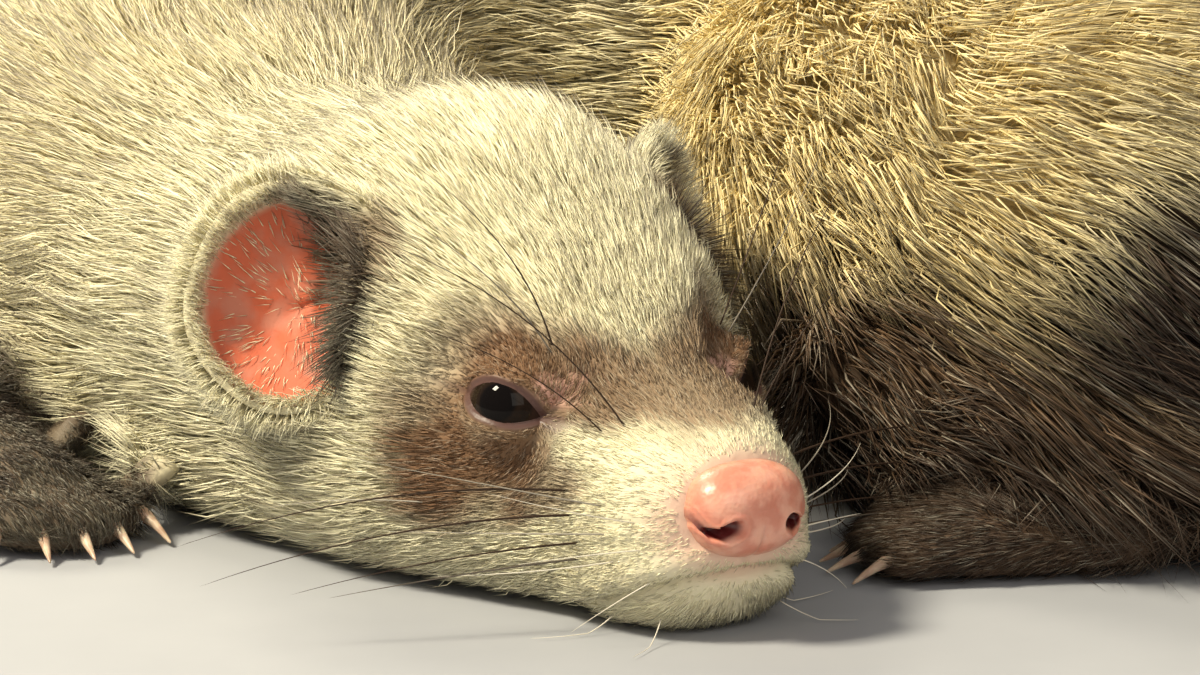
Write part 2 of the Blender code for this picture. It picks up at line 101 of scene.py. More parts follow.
LEGS = {
    "right_foreleg": ((-60, 106, 27, 13), (-68, 92, 14, 11), (-68, 75, 8.0, 8.2), (-63, 60, 6.8, 7.2)),
    "left_foreleg": ((-17, 118, 22, 11), (-4, 106, 12, 8.5), (2.5, 93, 6.6, 6.2), (5.0, 84, 5.6, 5.4)),
    "left_hind_leg": ((44, 56, 26, 14), (27, 54, 14.5, 11), (38, 38, 12, 9.5), (50, 30, 7.8, 7.6)),
    "right_hind_leg": ((78, 74, 26, 15), (84, 92, 18, 11), (94, 77, 12, 9.0), (100, 64, 7.6, 7.4)),
}
PAW_AT_HEEL, PAW_SPREAD = 0.55, 0.35  # shares of a paw's half width
PAWS = {
    "right_forepaw": ((-62, 57, 5.6), (-52, 36, 2.5), 7.2, 6.2, 3.0),
    "left_forepaw": ((5.6, 82, 4.3), (10, 64, 2.0), 4.6, 4.8, 2.5),
    "left_hind_foot": ((51, 28, 5.7), (27, 30, 2.5), 7.0, 6.4, 3.0),
    "right_hind_foot": ((100, 61, 5.7), (94, 87, 2.5), 7.0, 6.4, 3.0),
}


def spine_path():
    """Distance, place and bearing at every millimetre of the spine."""
    bearing, place, distance = HEAD_BEARING, NOSE_TIP.copy(), 0.0
    rows = [(distance, *place, bearing)]
    for _, length, turn in SPINE:
        for _ in range(length):
            middle = math.radians(bearing + turn / length / 2)
            place = place + np.array((math.cos(middle), math.sin(middle)))
            bearing += turn / length
            distance += 1.0
            rows.append((distance, *place, bearing))
    return np.array(rows)


PATH = spine_path()
TAILWARD = np.column_stack((np.cos(np.radians(PATH[:, 3])), np.sin(np.radians(PATH[:, 3]))))
LEFTWARD = np.column_stack((TAILWARD[:, 1], -TAILWARD[:, 0]))
HEAD_BACK = np.array((*TAILWARD[0], 0.0))
HEAD_LEFT = np.array((*LEFTWARD[0], 0.0))
UP = np.array((0.0, 0.0, 1.0))


def to_model(points):
    """Layout millimetres to metres in the frame."""
    return (np.asarray(points, float) - ORIGIN) * MM


def to_layout(points):
    return np.asarray(points, float) / MM + ORIGIN


def head_place(back, out, up):
    """A place in the head's frame (out is to its left) in layout millimetres."""
    return np.array((*NOSE_TIP, 0.0)) + HEAD_BACK * back + HEAD_LEFT * out + UP * up


def head_turn(forward, out, up):
    """A direction in the head's frame as a unit vector of the layout."""
    way = -HEAD_BACK * forward + HEAD_LEFT * out + UP * up
    return way / np.linalg.norm(way)


def in_head(points):
    """How far back, out to the left and up each point is, in the head's frame."""
    rel = points - np.array((*NOSE_TIP, 0.0))
    return rel @ HEAD_BACK, rel @ HEAD_LEFT, rel[:, 2]


def fullness_at(points, distance, out):
    """1 on the body's outline, less inside it and more outside."""
    half, top, level, bottom = (np.interp(distance, OUTLINE[:, 0], OUTLINE[:, k]) for k in (1, 2, 3, 4))
    rise = np.where(points[:, 2] > level, top - level, level - bottom)
    across, upright = np.abs(out) / half, np.abs(points[:, 2] - level) / rise
    return (across ** FULLNESS + upright ** FULLNESS) ** (1 / FULLNESS)


def leg_distance(points):
    """Distance outside the nearest leg, the way down that leg, and whether it is a paw."""
    best = np.full(len(points), 1e9)
    way = np.zeros((len(points), 3))
    paw = np.zeros(len(points))
    chains = [(joints, 0.0, 0.0) for joints in LEGS.values()]
    for heel, tip, half, sole, toe in PAWS.values():
        chains.append((((*heel, sole), (*tip, toe)), 1.0, half))
    for joints, is_paw, spread in chains:
        for a, b in zip(joints, joints[1:]):
            start, end = np.array(a[:3], float), np.array(b[:3], float)
            line = end - start
            share = np.clip(((points - start) @ line) / (line @ line), 0, 1)
            gap = np.linalg.norm(points - start - share[:, None] * line, axis=1)
            gap -= a[3] + (b[3] - a[3]) * share + spread * (PAW_AT_HEEL + PAW_SPREAD * share)
            nearer = gap < best
            best[nearer] = gap[nearer]
            way[nearer] = line / np.linalg.norm(line)
            paw[nearer] = is_paw
    return best, way, paw


def soft_step(low, high, values):
    """0 below low, 1 above high and a smooth rise between."""
    share = np.clip((values - low) / (high - low), 0, 1)
    return share * share * (3 - 2 * share)


def wobble(points, reach, seed):
    """An even, cloudy noise about -1 to 1, with lumps about reach millimetres across."""
    rng = np.random.default_rng(seed)
    total = np.zeros(len(points))
    for _ in range(7):
        way = rng.normal(size=3)
        way *= rng.uniform(0.6, 1.7) * math.pi / reach / np.linalg.norm(way)
        total += np.sin(points @ way + rng.uniform(0, 2 * math.pi))
    return total / 2.6


print("spine", round(PATH[-1, 0]), "mm long")

# %% [markdown]
# The photograph was taken from low down, close in front of the face, with a long lens. The camera
# stands where the head's landmarks (both eyes, nose, chin, ear) fall on the picture as they do
# there. The light is one warm lamp high on the left, one behind, a weak fill and a soft pale room.

# %% Camera, lamps and floor
CAMERA_AT = (0.0, -389.6, 104.6)
CAMERA_DOWN = 11.0
LENS, SENSOR = 132.0, 36.0


def deselect():
    bpy.ops.object.select_all(action="DESELECT")


def add_camera():
    turn = (math.radians(90 - CAMERA_DOWN), 0, 0)
    bpy.ops.object.camera_add(location=to_model(CAMERA_AT), rotation=turn)
    camera = bpy.context.object
    camera.name = "camera"
    camera.data.lens, camera.data.sensor_width = LENS, SENSOR
    camera.data.clip_start = 0.01
    bpy.context.scene.camera = camera


def add_lamp(name, place, aim, power, size, colour):
    """A square soft lamp at a place in metres that looks at another place."""
    bpy.ops.object.light_add(type="AREA", location=place)
    lamp = bpy.context.object
    lamp.name = name
    lamp.rotation_euler = (Vector(aim) - Vector(place)).to_track_quat("-Z", "Y").to_euler()
    lamp.data.energy, lamp.data.size, lamp.data.color = power, size, colour


deselect()
add_camera()
add_lamp("sun window", (-0.62, -0.25, 0.78), (-0.01, -0.02, 0.03), 17.0, 0.20, (1.0, 0.91, 0.70))
add_lamp("back window", (-0.45, 0.70, 0.62), (0.0, 0.0, 0.03), 6.5, 0.35, (1.0, 0.90, 0.70))
add_lamp("fill", (0.30, -0.75, 0.50), (0.05, 0.03, 0.03), 2.6, 0.60, (1.0, 0.93, 0.82))
world = bpy.data.worlds.new("room")
world.use_nodes = True
world.node_tree.nodes["Background"].inputs["Color"].default_value = (1.0, 0.97, 0.92, 1.0)
world.node_tree.nodes["Background"].inputs["Strength"].default_value = 0.30
bpy.context.scene.world = world
bpy.context.scene.view_settings.view_transform = "Standard"

# %% [markdown]
# Finishes are node trees. Written node by node they are long, so two small classes help: Finish
# adds any node in one call, and Number lets the sums on a mask read as sums.

# %% Finishes and sums on them


class Number:
    """A node's output that sums can be written with."""

    def __init__(self, finish, socket):
        self.finish, self.socket = finish, socket

    def math(self, operation, first, second=0.0):
        return self.finish.add("ShaderNodeMath", {"operation": operation}, {0: first, 1: second})

    def __add__(self, other):
        return self.math("ADD", self, other)

    def __radd__(self, other):
        return self.math("ADD", other, self)

    def __sub__(self, other):
        return self.math("SUBTRACT", self, other)

    def __rsub__(self, other):
        return self.math("SUBTRACT", other, self)

    def __mul__(self, other):
        return self.math("MULTIPLY", self, other)

    def __rmul__(self, other):
        return self.math("MULTIPLY", other, self)

    def between(self, low, high):
        """0 at low and 1 at high, held at those outside."""
        sockets = {0: self, 1: low, 2: high, 3: 0.0, 4: 1.0}
        return self.finish.add("ShaderNodeMapRange", {"interpolation_type": "SMOOTHSTEP"}, sockets)


class Finish:
    """One material and its nodes."""

    def __init__(self, name, **constants):
        self.material = bpy.data.materials.new(name)
        self.material.use_nodes = True
        self.tree = self.material.node_tree
        self.shader = self.tree.nodes["Principled BSDF"]
        self.feed(**constants)

    def put(self, socket, value):
        if isinstance(value, Number):
            self.tree.links.new(value.socket, socket)
        elif isinstance(value, tuple) and len(value) == 3 and socket.type == "RGBA":
            socket.default_value = (*value, 1.0)
        else:
            socket.default_value = value

    def add(self, kind, settings, sockets, out=0):
        """Any node: its settings first, then its sockets. Returns one of its outputs."""
        node = self.tree.nodes.new(kind)
        for key, value in settings.items():
            setattr(node, key, value)
        for key, value in sockets.items():
            self.put(node.inputs[key], value)
        return Number(self, node.outputs[out])

    def feed(self, **sockets):
        """Values or links for the shader, by socket name with _ for a space."""
        for name, value in sockets.items():
            self.put(self.shader.inputs[name.replace("_", " ")], value)

    def mix(self, first, second, share):
        return self.add("ShaderNodeMix", {"data_type": "RGBA"}, {0: share, 6: first, 7: second}, out=2)

    def attribute(self, name, out=2):
        return self.add("ShaderNodeAttribute", {"attribute_name": name}, {}, out=out)

    def place(self):
        return self.add("ShaderNodeTexCoord", {}, {}, out=3)

    def noise(self, scale, detail=2.0):
        sockets = {0: self.place(), "Scale": scale, "Detail": detail}
        return self.add("ShaderNodeTexNoise", {"noise_dimensions": "3D"}, sockets)

    def bump(self, height, strength, distance):
        sockets = {"Height": height, "Strength": strength, "Distance": distance}
        self.feed(Normal=self.add("ShaderNodeBump", {}, sockets))


def shade(obj, finish):
    """Give a piece one finish."""
    obj.data.materials.clear()
    obj.data.materials.append(finish.material)


floor_finish = Finish("pale floor", Roughness=0.75)
grain = floor_finish.noise(90.0, 3.0)
floor_finish.feed(Base_Color=floor_finish.mix((0.34, 0.35, 0.38), (0.38, 0.39, 0.42), grain))
deselect()
bpy.ops.mesh.primitive_plane_add(size=6.0, location=(0, 0, 0))
floor = bpy.context.object
floor.name = "floor"
shade(floor, floor_finish)
print("floor finished")

# %% [markdown]
# Under its coat the animal is one skin. Sculpting it from nothing would lose the outline that the
# solids hold, so the flesh solids are copied, swollen a little until they meet, and remeshed into
# one closed shell. Then it is drawn in by the depth of the coat that will stand on it, and made
# finer where the face needs folds.

# %% Helpers for whole meshes
FLESH = (
    "head", "jaw", "neck", "chest", "back", "belly", "rump", "tail_base", "tail_middle", "tail_tip",
    "left_foreleg", "right_foreleg", "left_hind_leg", "right_hind_leg",
    "left_forepaw", "right_forepaw", "left_hind_foot", "right_hind_foot",
)
STRETCHES = ((0.0, 112.0), (112.0, 384.0), (384.0, 513.0))
HEAD_ENDS = 66  # millimetres along the spine
MERGE_REACH = 0.00001  # metres


def read(elements, field, width, kind=np.float32):
    """One property of every element of a mesh, in rows."""
    flat = np.empty(len(elements) * width, kind)
    elements.foreach_get(field, flat)
    return flat.reshape(-1, width)


def points_of(obj):
    """Where an object's vertices are, in layout millimetres."""
    return to_layout(read(obj.data.vertices, "co", 3))


def normals_of(obj):
    return read(obj.data.vertices, "normal", 3).astype(float)


def keep(obj, name, values):
    """Store a number at each vertex, for a finish to read."""
    attribute = obj.data.attributes.new(name, "FLOAT", "POINT")
    attribute.data.foreach_set("value", np.asarray(values, np.float32))


def keep_three(obj, name, values):
    """Store three numbers at each vertex, in the channels of one colour."""
    attribute = obj.data.attributes.new(name, "FLOAT_COLOR", "POINT")
    colours = np.column_stack((values, np.ones(len(values))))
    attribute.data.foreach_set("color", colours.astype(np.float32).ravel())


def move_points(obj, points):
    obj.data.vertices.foreach_set("co", to_model(points).astype(np.float32).ravel())
    obj.data.update()


def active(obj):
    deselect()
    obj.select_set(True)
    bpy.context.view_layer.objects.active = obj


def in_edit(obj, chosen=None):
    """Open a mesh for editing, with all of it or the chosen faces selected."""
    active(obj)
    bpy.ops.object.mode_set(mode="EDIT")
    bpy.ops.mesh.select_mode(type="FACE")
    bpy.ops.mesh.select_all(action="SELECT" if chosen is None else "DESELECT")
    if chosen is not None:
        bpy.ops.object.mode_set(mode="OBJECT")
        obj.data.polygons.foreach_set("select", chosen)
        bpy.ops.object.mode_set(mode="EDIT")


def out_of_edit():
    bpy.ops.object.mode_set(mode="OBJECT")


def face_outwards(obj, merge=False):
    """Turn every face outwards, once its doubles are merged where that is asked for."""
    in_edit(obj)
    if merge:
        bpy.ops.mesh.remove_doubles(threshold=MERGE_REACH)
    bpy.ops.mesh.normals_make_consistent(inside=False)
    out_of_edit()


def node_copy(node, name):
    """A copy of a node's mesh, whose loose triangles are merged into a shell."""
    obj = bpy.data.objects.new(name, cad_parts[node].data.copy())
    bpy.context.scene.collection.objects.link(obj)
    face_outwards(obj, merge=True)
    return obj


def modify(obj, kind, **settings):
    """Add a modifier and apply it."""
    active(obj)
    modifier = obj.modifiers.new(kind.lower(), kind)
    for key, value in settings.items():
        setattr(modifier, key, value)
    bpy.ops.object.modifier_apply(modifier=modifier.name)


def flat_object(name):
    """Bring a new primitive to the origin, unturned and unscaled, and name it."""
    bpy.ops.object.transform_apply(location=True, rotation=True, scale=True)
    obj = bpy.context.object
    obj.name = obj.data.name = name
    return obj


def add_ball(name, centre, radius, level=4):
    deselect()
    place = to_model(centre)
    bpy.ops.mesh.primitive_ico_sphere_add(subdivisions=level, radius=radius * MM, location=place)
    return flat_object(name)


def join(name, parts):
    deselect()
    for obj in parts:
        obj.select_set(True)
    bpy.context.view_layer.objects.active = parts[0]
    bpy.ops.object.join()
    whole = bpy.context.object
    whole.name = whole.data.name = name
    return whole


def where_on_body(points):
    """Distance along the spine, out to the left, and fullness, by the stretch each point belongs to."""
    best = np.full(len(points), 1e9)
    distance, out = np.zeros(len(points)), np.zeros(len(points))
    for low, high in STRETCHES:
        rows = PATH[int(low):int(high) + 1:2]
        for start in range(0, len(points), 20000):
            part = points[start:start + 20000]
            gap = part[:, None, :2] - rows[None, :, 1:3]
            near = int(low) + 2 * (gap ** 2).sum(axis=2).argmin(axis=1)
            rel = part[:, :2] - PATH[near, 1:3]
            along = np.clip(PATH[near, 0] + (rel * TAILWARD[near]).sum(axis=1), low - 2, high + 2)
            aside = (rel * LEFTWARD[near]).sum(axis=1)
            full = fullness_at(part, along, aside)
            full += 0.02 * np.clip((rel * TAILWARD[near]).sum(axis=1) ** 2 - 2, 0, None)
            span = slice(start, start + len(part))
            nearer = full < best[span]
            best[span][nearer] = full[nearer]
            distance[span][nearer] = along[nearer]
            out[span][nearer] = aside[nearer]
    return distance, out, best


print("helpers ready for", len(FLESH), "flesh nodes")

# %% One skin from the flesh
EYE_RADIUS = 4.2
EYE_PLACE = (25.4, 11.4, 19.2)
EYE_FACES = (0.58, 0.76, 0.30)
NOSE_PLACE = (3.6, 0.0, 12.4)
NOSE_HALF = (4.3, 5.9, 4.4)
EAR_PLACE = (48.0, 22.8, 27.2)
EAR_HALF = (7.0, 10.7, 10.7)
EAR_OPENING = (0.60, 0.72, 0.30)
EAR_LEAN = (-0.15, 0.35, 1.0)
SIDES = (("left", 1), ("right", -1))
SWELL = 0.45
VOXEL = 1.35
DEPTH_ON_PAW, DEPTH_ON_LEG, DEPTH_BELOW = 0.6, 1.9, 1.3
DRAW_STEPS = 3
BODY_FACES_KEPT = 0.55
COAT_DEPTH = np.array((
    (0, 0.3), (6, 0.35), (12, 0.5), (18, 0.9), (25, 1.3), (34, 2.0), (44, 2.8), (56, 3.4), (70, 4.2),
    (90, 5.2), (120, 6.2), (340, 6.2), (372, 5.2), (392, 4.4), (480, 3.8), (500, 2.6), (513, 0.8),
))


def flesh_copy():
    """The flesh nodes swollen until they meet, and the bone and gristle that stand between them."""
    parts = []
    for name in FLESH:
        part = node_copy(name, "flesh")
        move_points(part, points_of(part) + normals_of(part) * SWELL)
        parts.append(part)
    for _, side in SIDES:
        back, out, up = EYE_PLACE
        orbit = head_place(back - 0.8, (out - 0.7) * side, up - 0.2)
        parts.append(add_ball("orbit", orbit, EYE_RADIUS + 1.7))
        parts.append(add_ball("tear bone", head_place(back - 6.5, (out - 2.2) * side, up - 2.4), 5.2))
        back, out, up = EAR_PLACE
        parts.append(add_ball("ear root", head_place(back - 1, (out - 6.5) * side, up - 1), 8.0))
    nose = add_ball("nose seat", head_place(5.6, 0, 12.0), 4.0)
    return join("skin", parts + [nose])


skin = flesh_copy()
modify(skin, "REMESH", mode="VOXEL", voxel_size=VOXEL * MM, adaptivity=0.0)
modify(skin, "SMOOTH", factor=0.5, iterations=7)


def coat_depth(points):
    """How deep the coat stands at each place, from the skin to its tips."""
    distance, _, full = where_on_body(points)
    along = np.where(distance < HEAD_ENDS, in_head(points)[0], distance)
    depth = np.interp(along, COAT_DEPTH[:, 0], COAT_DEPTH[:, 1])
    leg_gap, _, paw = leg_distance(points)
    clear = soft_step(0.10, 0.35, full - 1) * soft_step(7.0, 3.0, leg_gap)
    depth = depth * (1 - clear) + clear * np.where(paw > 0.5, DEPTH_ON_PAW, DEPTH_ON_LEG)
    low = soft_step(9.0, 1.0, points[:, 2])
    return depth * (1 - low) + np.minimum(depth, DEPTH_BELOW) * low


def draw_in(obj):
    """Move the skin in by the coat's depth, in steps so that hollows stay clean."""
    for _ in range(DRAW_STEPS):
        points = points_of(obj)
        move_points(obj, points - normals_of(obj) * (coat_depth(points) / DRAW_STEPS)[:, None])
        modify(obj, "SMOOTH", factor=0.5, iterations=2)


def thin_out(obj, share):
    """Fewer faces where the coat is deep, all of them kept on the head and the paws."""
    points = points_of(obj)
    back, out, _ = in_head(points)
    on_head = (back < HEAD_ENDS) & (np.abs(out) < 32)
    gap, _, paw = leg_distance(points)
    group = obj.vertex_groups.new(name="body")
    group.add(np.flatnonzero(~on_head & ~((paw > 0.5) & (gap < 2))).tolist(), 1.0, "REPLACE")
    modify(obj, "DECIMATE", ratio=share, vertex_group="body")
    obj.vertex_groups.clear()


draw_in(skin)
thin_out(skin, BODY_FACES_KEPT)
print("skin:", len(skin.data.polygons), "faces")

# %% [markdown]
# The face carries the most to look at, so its mesh is made finer in three steps: the head, then the
# face, then the eyes and the mouth. A subdivision of the whole animal would cost far more. The folds
# are then moved in place by their distance from the eye and from the line of the mouth.

# %% Finer mesh on the head, face, lids and mouth
LID_OPENING = (3.85, 1.62)
LID_TURN = (1.0, -0.10, -0.05)
MOUTH_FRONT, MOUTH_CORNER = (1.0, 7.6), (17.0, 2.0)
MOUTH_SAG = 0.7
FINER_BACK_TO = (58, 27)
FINER_ROUND_EYE = 6.6


def face_middles(obj):
    return to_layout(read(obj.data.polygons, "center", 3))


def refine(obj, chosen):
    in_edit(obj, chosen)
    bpy.ops.mesh.subdivide(number_cuts=1, smoothness=0.0)
    out_of_edit()


def eye_gap(points):
    """Distance from the nearer eye's centre."""
    return np.min([np.linalg.norm(points - eye_centre(side), axis=1) for _, side in SIDES], axis=0)


def eye_centre(side):
    back, out, up = EYE_PLACE
    return head_place(back, out * side, up)


def mouth_level(back):
    """How high the line of the lips runs at a distance behind the nose."""
    share = (back - MOUTH_FRONT[0]) / (MOUTH_CORNER[0] - MOUTH_FRONT[0])
    sag = MOUTH_SAG * np.sin(np.pi * np.clip(share, 0, 1))
    return MOUTH_FRONT[1] + (MOUTH_CORNER[1] - MOUTH_FRONT[1]) * share - sag


def near_head(points):
    """True for points of the head and not of what lies against it."""
    back, out, _ = in_head(points)
    maybe = (back > -6) & (back < 76) & (np.abs(out) < 34)
    found = np.zeros(len(points), bool)
    found[maybe] = where_on_body(points[maybe])[0] < HEAD_ENDS
    return found


for limit in FINER_BACK_TO:
    middles = face_middles(skin)
    refine(skin, near_head(middles) & (in_head(middles)[0] < limit))
refine(skin, eye_gap(face_middles(skin)) < FINER_ROUND_EYE)
modify(skin, "SMOOTH", factor=0.5, iterations=2)
print("skin with a finer face:", len(skin.data.polygons), "faces")

# %% [markdown]
# An ear is a thin cup on the side of the head, open forwards and outwards, with a rim that rolls
# over. A sphere cut in half gives the bowl, a wall is added to it, and the two are then let into
# the skin with a union, so that no seam runs round the foot of the ear.

# %% Ears
EAR_WALL_AT_RIM, EAR_WALL_AT_ROOT = 0.75, 1.7
EAR_AROUND, EAR_RINGS = 96, 40
EAR_INSET = 0.55
EAR_REACH, CORNER_REACH = 0.035, 0.0011  # metres


def ear_axes(side):
    """Out of the cup, up to its tip, and across it towards the head."""
    forward, out, up = EAR_OPENING
    face = head_turn(forward, out * side, up)
    forward, out, up = EAR_LEAN
    tip = head_turn(forward, out * side, up)
    tip = tip - face * (tip @ face)
    tip = tip / np.linalg.norm(tip)
    return face, tip, np.cross(tip, face) * side


def add_ear(name, side):
    """A cup with a wavy rim, a ridge and a fold in its bowl, and a wall that thickens to its root."""
    deselect()
    bpy.ops.mesh.primitive_uv_sphere_add(segments=EAR_AROUND, ring_count=EAR_RINGS * 2, radius=1.0)
    ear = bpy.context.object
    in_edit(ear)
    bpy.ops.mesh.bisect(plane_co=(0, 0, 0), plane_no=(0, 0, 1), clear_outer=True)
    out_of_edit()
    raw = read(ear.data.vertices, "co", 3).astype(float)
    x, y, depth = raw[:, 0], raw[:, 1], -raw[:, 2]
    around, open_ = np.arctan2(y, x), np.hypot(x, y)
    half_in, half_across, half_up = EAR_HALF
    lift = np.where(y > 0, 1.0 + 0.05 * y * y, 1.0)
    rim = soft_step(0.72, 1.0, open_)
    flare = 1.0 + 0.07 * rim + 0.018 * rim * np.sin(around * 5 + 1.0)
    ridge = 0.10 * np.exp(-((x - 0.30 - 0.25 * y) / 0.16) ** 2) * soft_step(0.85, 0.3, open_)
    fold = 0.16 * np.exp(-((x + 0.52) / 0.13) ** 2 - ((y + 0.25) / 0.35) ** 2)
    depth = depth * (0.90 + 0.10 * np.cos(around * 2)) - ridge - fold + 0.02 * rim * np.sin(around * 3)
    face, tip, across = ear_axes(side)
    back, out, up = EAR_PLACE
    centre = head_place(back, out * side, up)
    points = centre + np.outer(x * flare * (half_across - EAR_INSET), across)
    points += np.outer(y * flare * lift * (half_up - EAR_INSET), tip)
    points -= np.outer(depth * (half_in - EAR_INSET), face)
    move_points(ear, points)
    ear = flat_object(name)
    modify(ear, "SOLIDIFY", thickness=EAR_WALL_AT_RIM * MM, offset=0.0, use_rim=True)
    face_outwards(ear)
    points, normals = points_of(ear), normals_of(ear)
    near_root = soft_step(-0.15 * half_in, -0.9 * half_in, (points - centre) @ face)
    thick = near_root * (EAR_WALL_AT_ROOT - EAR_WALL_AT_RIM) / 2
    move_points(ear, points + normals * thick[:, None])
    modify(ear, "SMOOTH", factor=0.5, iterations=2)
    return ear


def cup_hollow(side):
    """The room inside a cup, to clear the head out of it."""
    hollow = add_ball("cup hollow", (0, 0, 0), 1.0, level=5)
    raw = points_of(hollow)
    face, tip, across = ear_axes(side)
    back, out, up = EAR_PLACE
    half_in, half_across, half_up = EAR_HALF
    points = head_place(back, out * side, up) + np.outer(raw[:, 2] * half_in * 0.88, face)
    points += np.outer(raw[:, 0] * half_across * 0.93, across)
    points += np.outer(raw[:, 1] * half_up * 0.93, tip)
    move_points(hollow, points)
    face_outwards(hollow)
    return hollow


def surface_of(obj):
    """A search tree of a mesh's faces, for the nearest place on it."""
    corners = [vertex.co.copy() for vertex in obj.data.vertices]
    return BVHTree.FromPolygons(corners, [tuple(face.vertices) for face in obj.data.polygons])


def let_in(obj, piece):
    """Union of two closed shells, with the corner where they meet rounded."""
    old, new = surface_of(obj), surface_of(piece)
    modify(obj, "BOOLEAN", operation="UNION", object=piece, solver="MANIFOLD")
    corner = []
    middle = piece.data.vertices[0].co
    for vertex in obj.data.vertices:
        if (vertex.co - middle).length < EAR_REACH:
            if max(tree.find_nearest(vertex.co)[3] for tree in (old, new)) < CORNER_REACH:
                corner.append(vertex.index)
    group = obj.vertex_groups.new(name="corner")
    group.add(corner, 1.0, "REPLACE")
    modify(obj, "SMOOTH", factor=0.5, iterations=8, vertex_group="corner")
    obj.vertex_groups.clear()
    bpy.data.objects.remove(piece)


for word, side in SIDES:
    hollow = cup_hollow(side)
    modify(skin, "BOOLEAN", operation="DIFFERENCE", object=hollow, solver="MANIFOLD")
    bpy.data.objects.remove(hollow)
    let_in(skin, add_ear("ear " + word, side))


def ear_parts(points):
    """For each point: how far across, up and out of the nearer ear cup it is, in cup radii."""
    sides = np.where(in_head(points)[1] > 0, 1, -1)
    found = np.zeros((len(points), 3))
    for _, side in SIDES:
        face, tip, across = ear_axes(side)
        back, out, up = EAR_PLACE
        rel = points - head_place(back, out * side, up)
        cup = np.column_stack((rel @ across, rel @ tip, rel @ face)) / np.roll(EAR_HALF, -1)
        found[sides == side] = cup[sides == side]
    return found


def on_ear(points):
    """1 on the cup itself, 0 on the head around it."""
    cup = ear_parts(points)
    reach = np.linalg.norm(cup * (1, 1, 0.92), axis=1)
    behind = soft_step(1.24, 1.12, reach) * (cup[:, 2] < 0.10)
    carved = soft_step(1.03, 0.97, reach) * (cup[:, 2] < 1.0)
    return np.maximum(behind, carved)


print("skin with ears:", len(skin.data.polygons), "faces")

# %% [markdown]
# Lids are what make an eye look alive: a bead set in a hole looks like a toy. Each opening is an
# almond across the front of the eyeball. Inside it the skin goes behind the ball, at its edge a
# rounded rim lies on the ball, and outside the lid rides over the ball and runs out into the cheek.

# %% Lids, lips and whisker pads


def eye_axes(side):
    """Out of the eye, towards its inner corner, and up across the opening."""
    forward, out, up = EYE_FACES
    face = head_turn(forward, out * side, up)
    forward, out, up = LID_TURN
    inner = head_turn(forward, out * side, up)
    inner = inner - face * (inner @ face)
    inner = inner / np.linalg.norm(inner)
    across = np.cross(face, inner) * -side
    return face, inner, across if across[2] > 0 else -across


def opening_gap(along, across):
    """Distance outside the almond opening, less than 0 inside it."""
    half, high = LID_OPENING
    edge = high * np.clip(1 - (np.abs(along) / half) ** 2.8, 0, None)
    past = np.maximum(np.abs(along) - half, 0)
    over = np.abs(across) - edge
    return np.where(past > 0, np.hypot(past, np.maximum(over, 0)), over * 0.9)


def shape_lids(obj, side):
    """Open the lids: a rim that lies on the ball, a fold above it, and skin behind the ball."""
    points = points_of(obj)
    centre = eye_centre(side)
    face, inner, across = eye_axes(side)
    rel = points - centre
    reach = np.linalg.norm(rel, axis=1)
    way = rel / reach[:, None]
    front = (way @ face > 0.02) & (reach < 11) & near_head(points)
    x, y = way @ inner * EYE_RADIUS, way @ across * EYE_RADIUS
    gap = opening_gap(x, y)
    snap = front & (np.abs(gap) < 0.13) & (np.abs(x) < LID_OPENING[0] * 0.93)
    shifted = way - across * (np.sign(y) * gap / EYE_RADIUS)[:, None]
    shifted /= np.linalg.norm(shifted, axis=1)[:, None]
    way = np.where(snap[:, None], shifted, way)
    gap = np.where(snap, 0.0, gap)
    rim = 4.28 + 0.42 * soft_step(0.0, 0.40, gap)
    inside = 3.30 + 0.95 * soft_step(-0.45, -0.05, gap)
    lid = np.where(gap < 0, inside, rim)
    fold = 0.30 * np.exp(-((gap - 1.35) / 0.33) ** 2) * np.where(y > 0, 1.0, 0.75)
    share = soft_step(0.9, 4.6, gap)
    want = lid * (1 - share) + np.maximum(reach, 4.45) * share - fold
    lump = 0.5 * np.exp(-((x - 4.6) / 1.4) ** 2 - ((y - 2.6) / 1.3) ** 2)
    moved = centre + way * (want + lump)[:, None]
    move_points(obj, np.where(front[:, None] & (gap < 4.6)[:, None], moved, points))


def shape_mouth(obj):
    """A fold between the lips, a full upper lip over it and a dent below the nose."""
    points, normals = points_of(obj), normals_of(obj)
    back, out, up = in_head(points)
    off = up - mouth_level(back)
    here = near_head(points) & (back < 22)
    fade = soft_step(19.0, 14.5, back) * here
    fold = 0.85 * np.exp(-(off / 0.42) ** 2)
    lip = 0.55 * np.exp(-((off - 1.7) / 1.2) ** 2)
    lower = 0.30 * np.exp(-((off + 1.5) / 0.9) ** 2)
    parting = 0.40 * np.exp(-(out / 0.45) ** 2) * (off > 0)
    parting *= soft_step(9.5, 8.0, up) * soft_step(8.0, 4.0, back)
    points += normals * ((lip + lower - fold - parting) * fade)[:, None]
    move_points(obj, points)


def shape_pads(obj):
    """Rows of low mounds where the whiskers stand, and a soft hollow in front of the eye."""
    points, normals = points_of(obj), normals_of(obj)
    back, out, up = in_head(points)
    here = near_head(points)
    rows = np.cos((up + 0.15 * back) * 2 * math.pi / 1.9) * 0.09
    pad = np.exp(-((back - 9.5) / 4.0) ** 2 - ((up - 10.0) / 4.0) ** 2)
    pad *= soft_step(4.0, 6.5, np.abs(out))
    tear = 0.35 * np.exp(-((back - 19.0) / 2.6) ** 2 - ((up - 17.6) / 2.4) ** 2)
    tear *= soft_step(4.5, 7.5, np.abs(out))
    points += normals * ((rows * pad - tear) * here)[:, None]
    move_points(obj, points)


shape_mouth(skin)
shape_pads(skin)
for _, side in SIDES:
    shape_lids(skin, side)
print("lids open", round(2 * LID_OPENING[0], 1), "by", 2 * LID_OPENING[1], "mm")

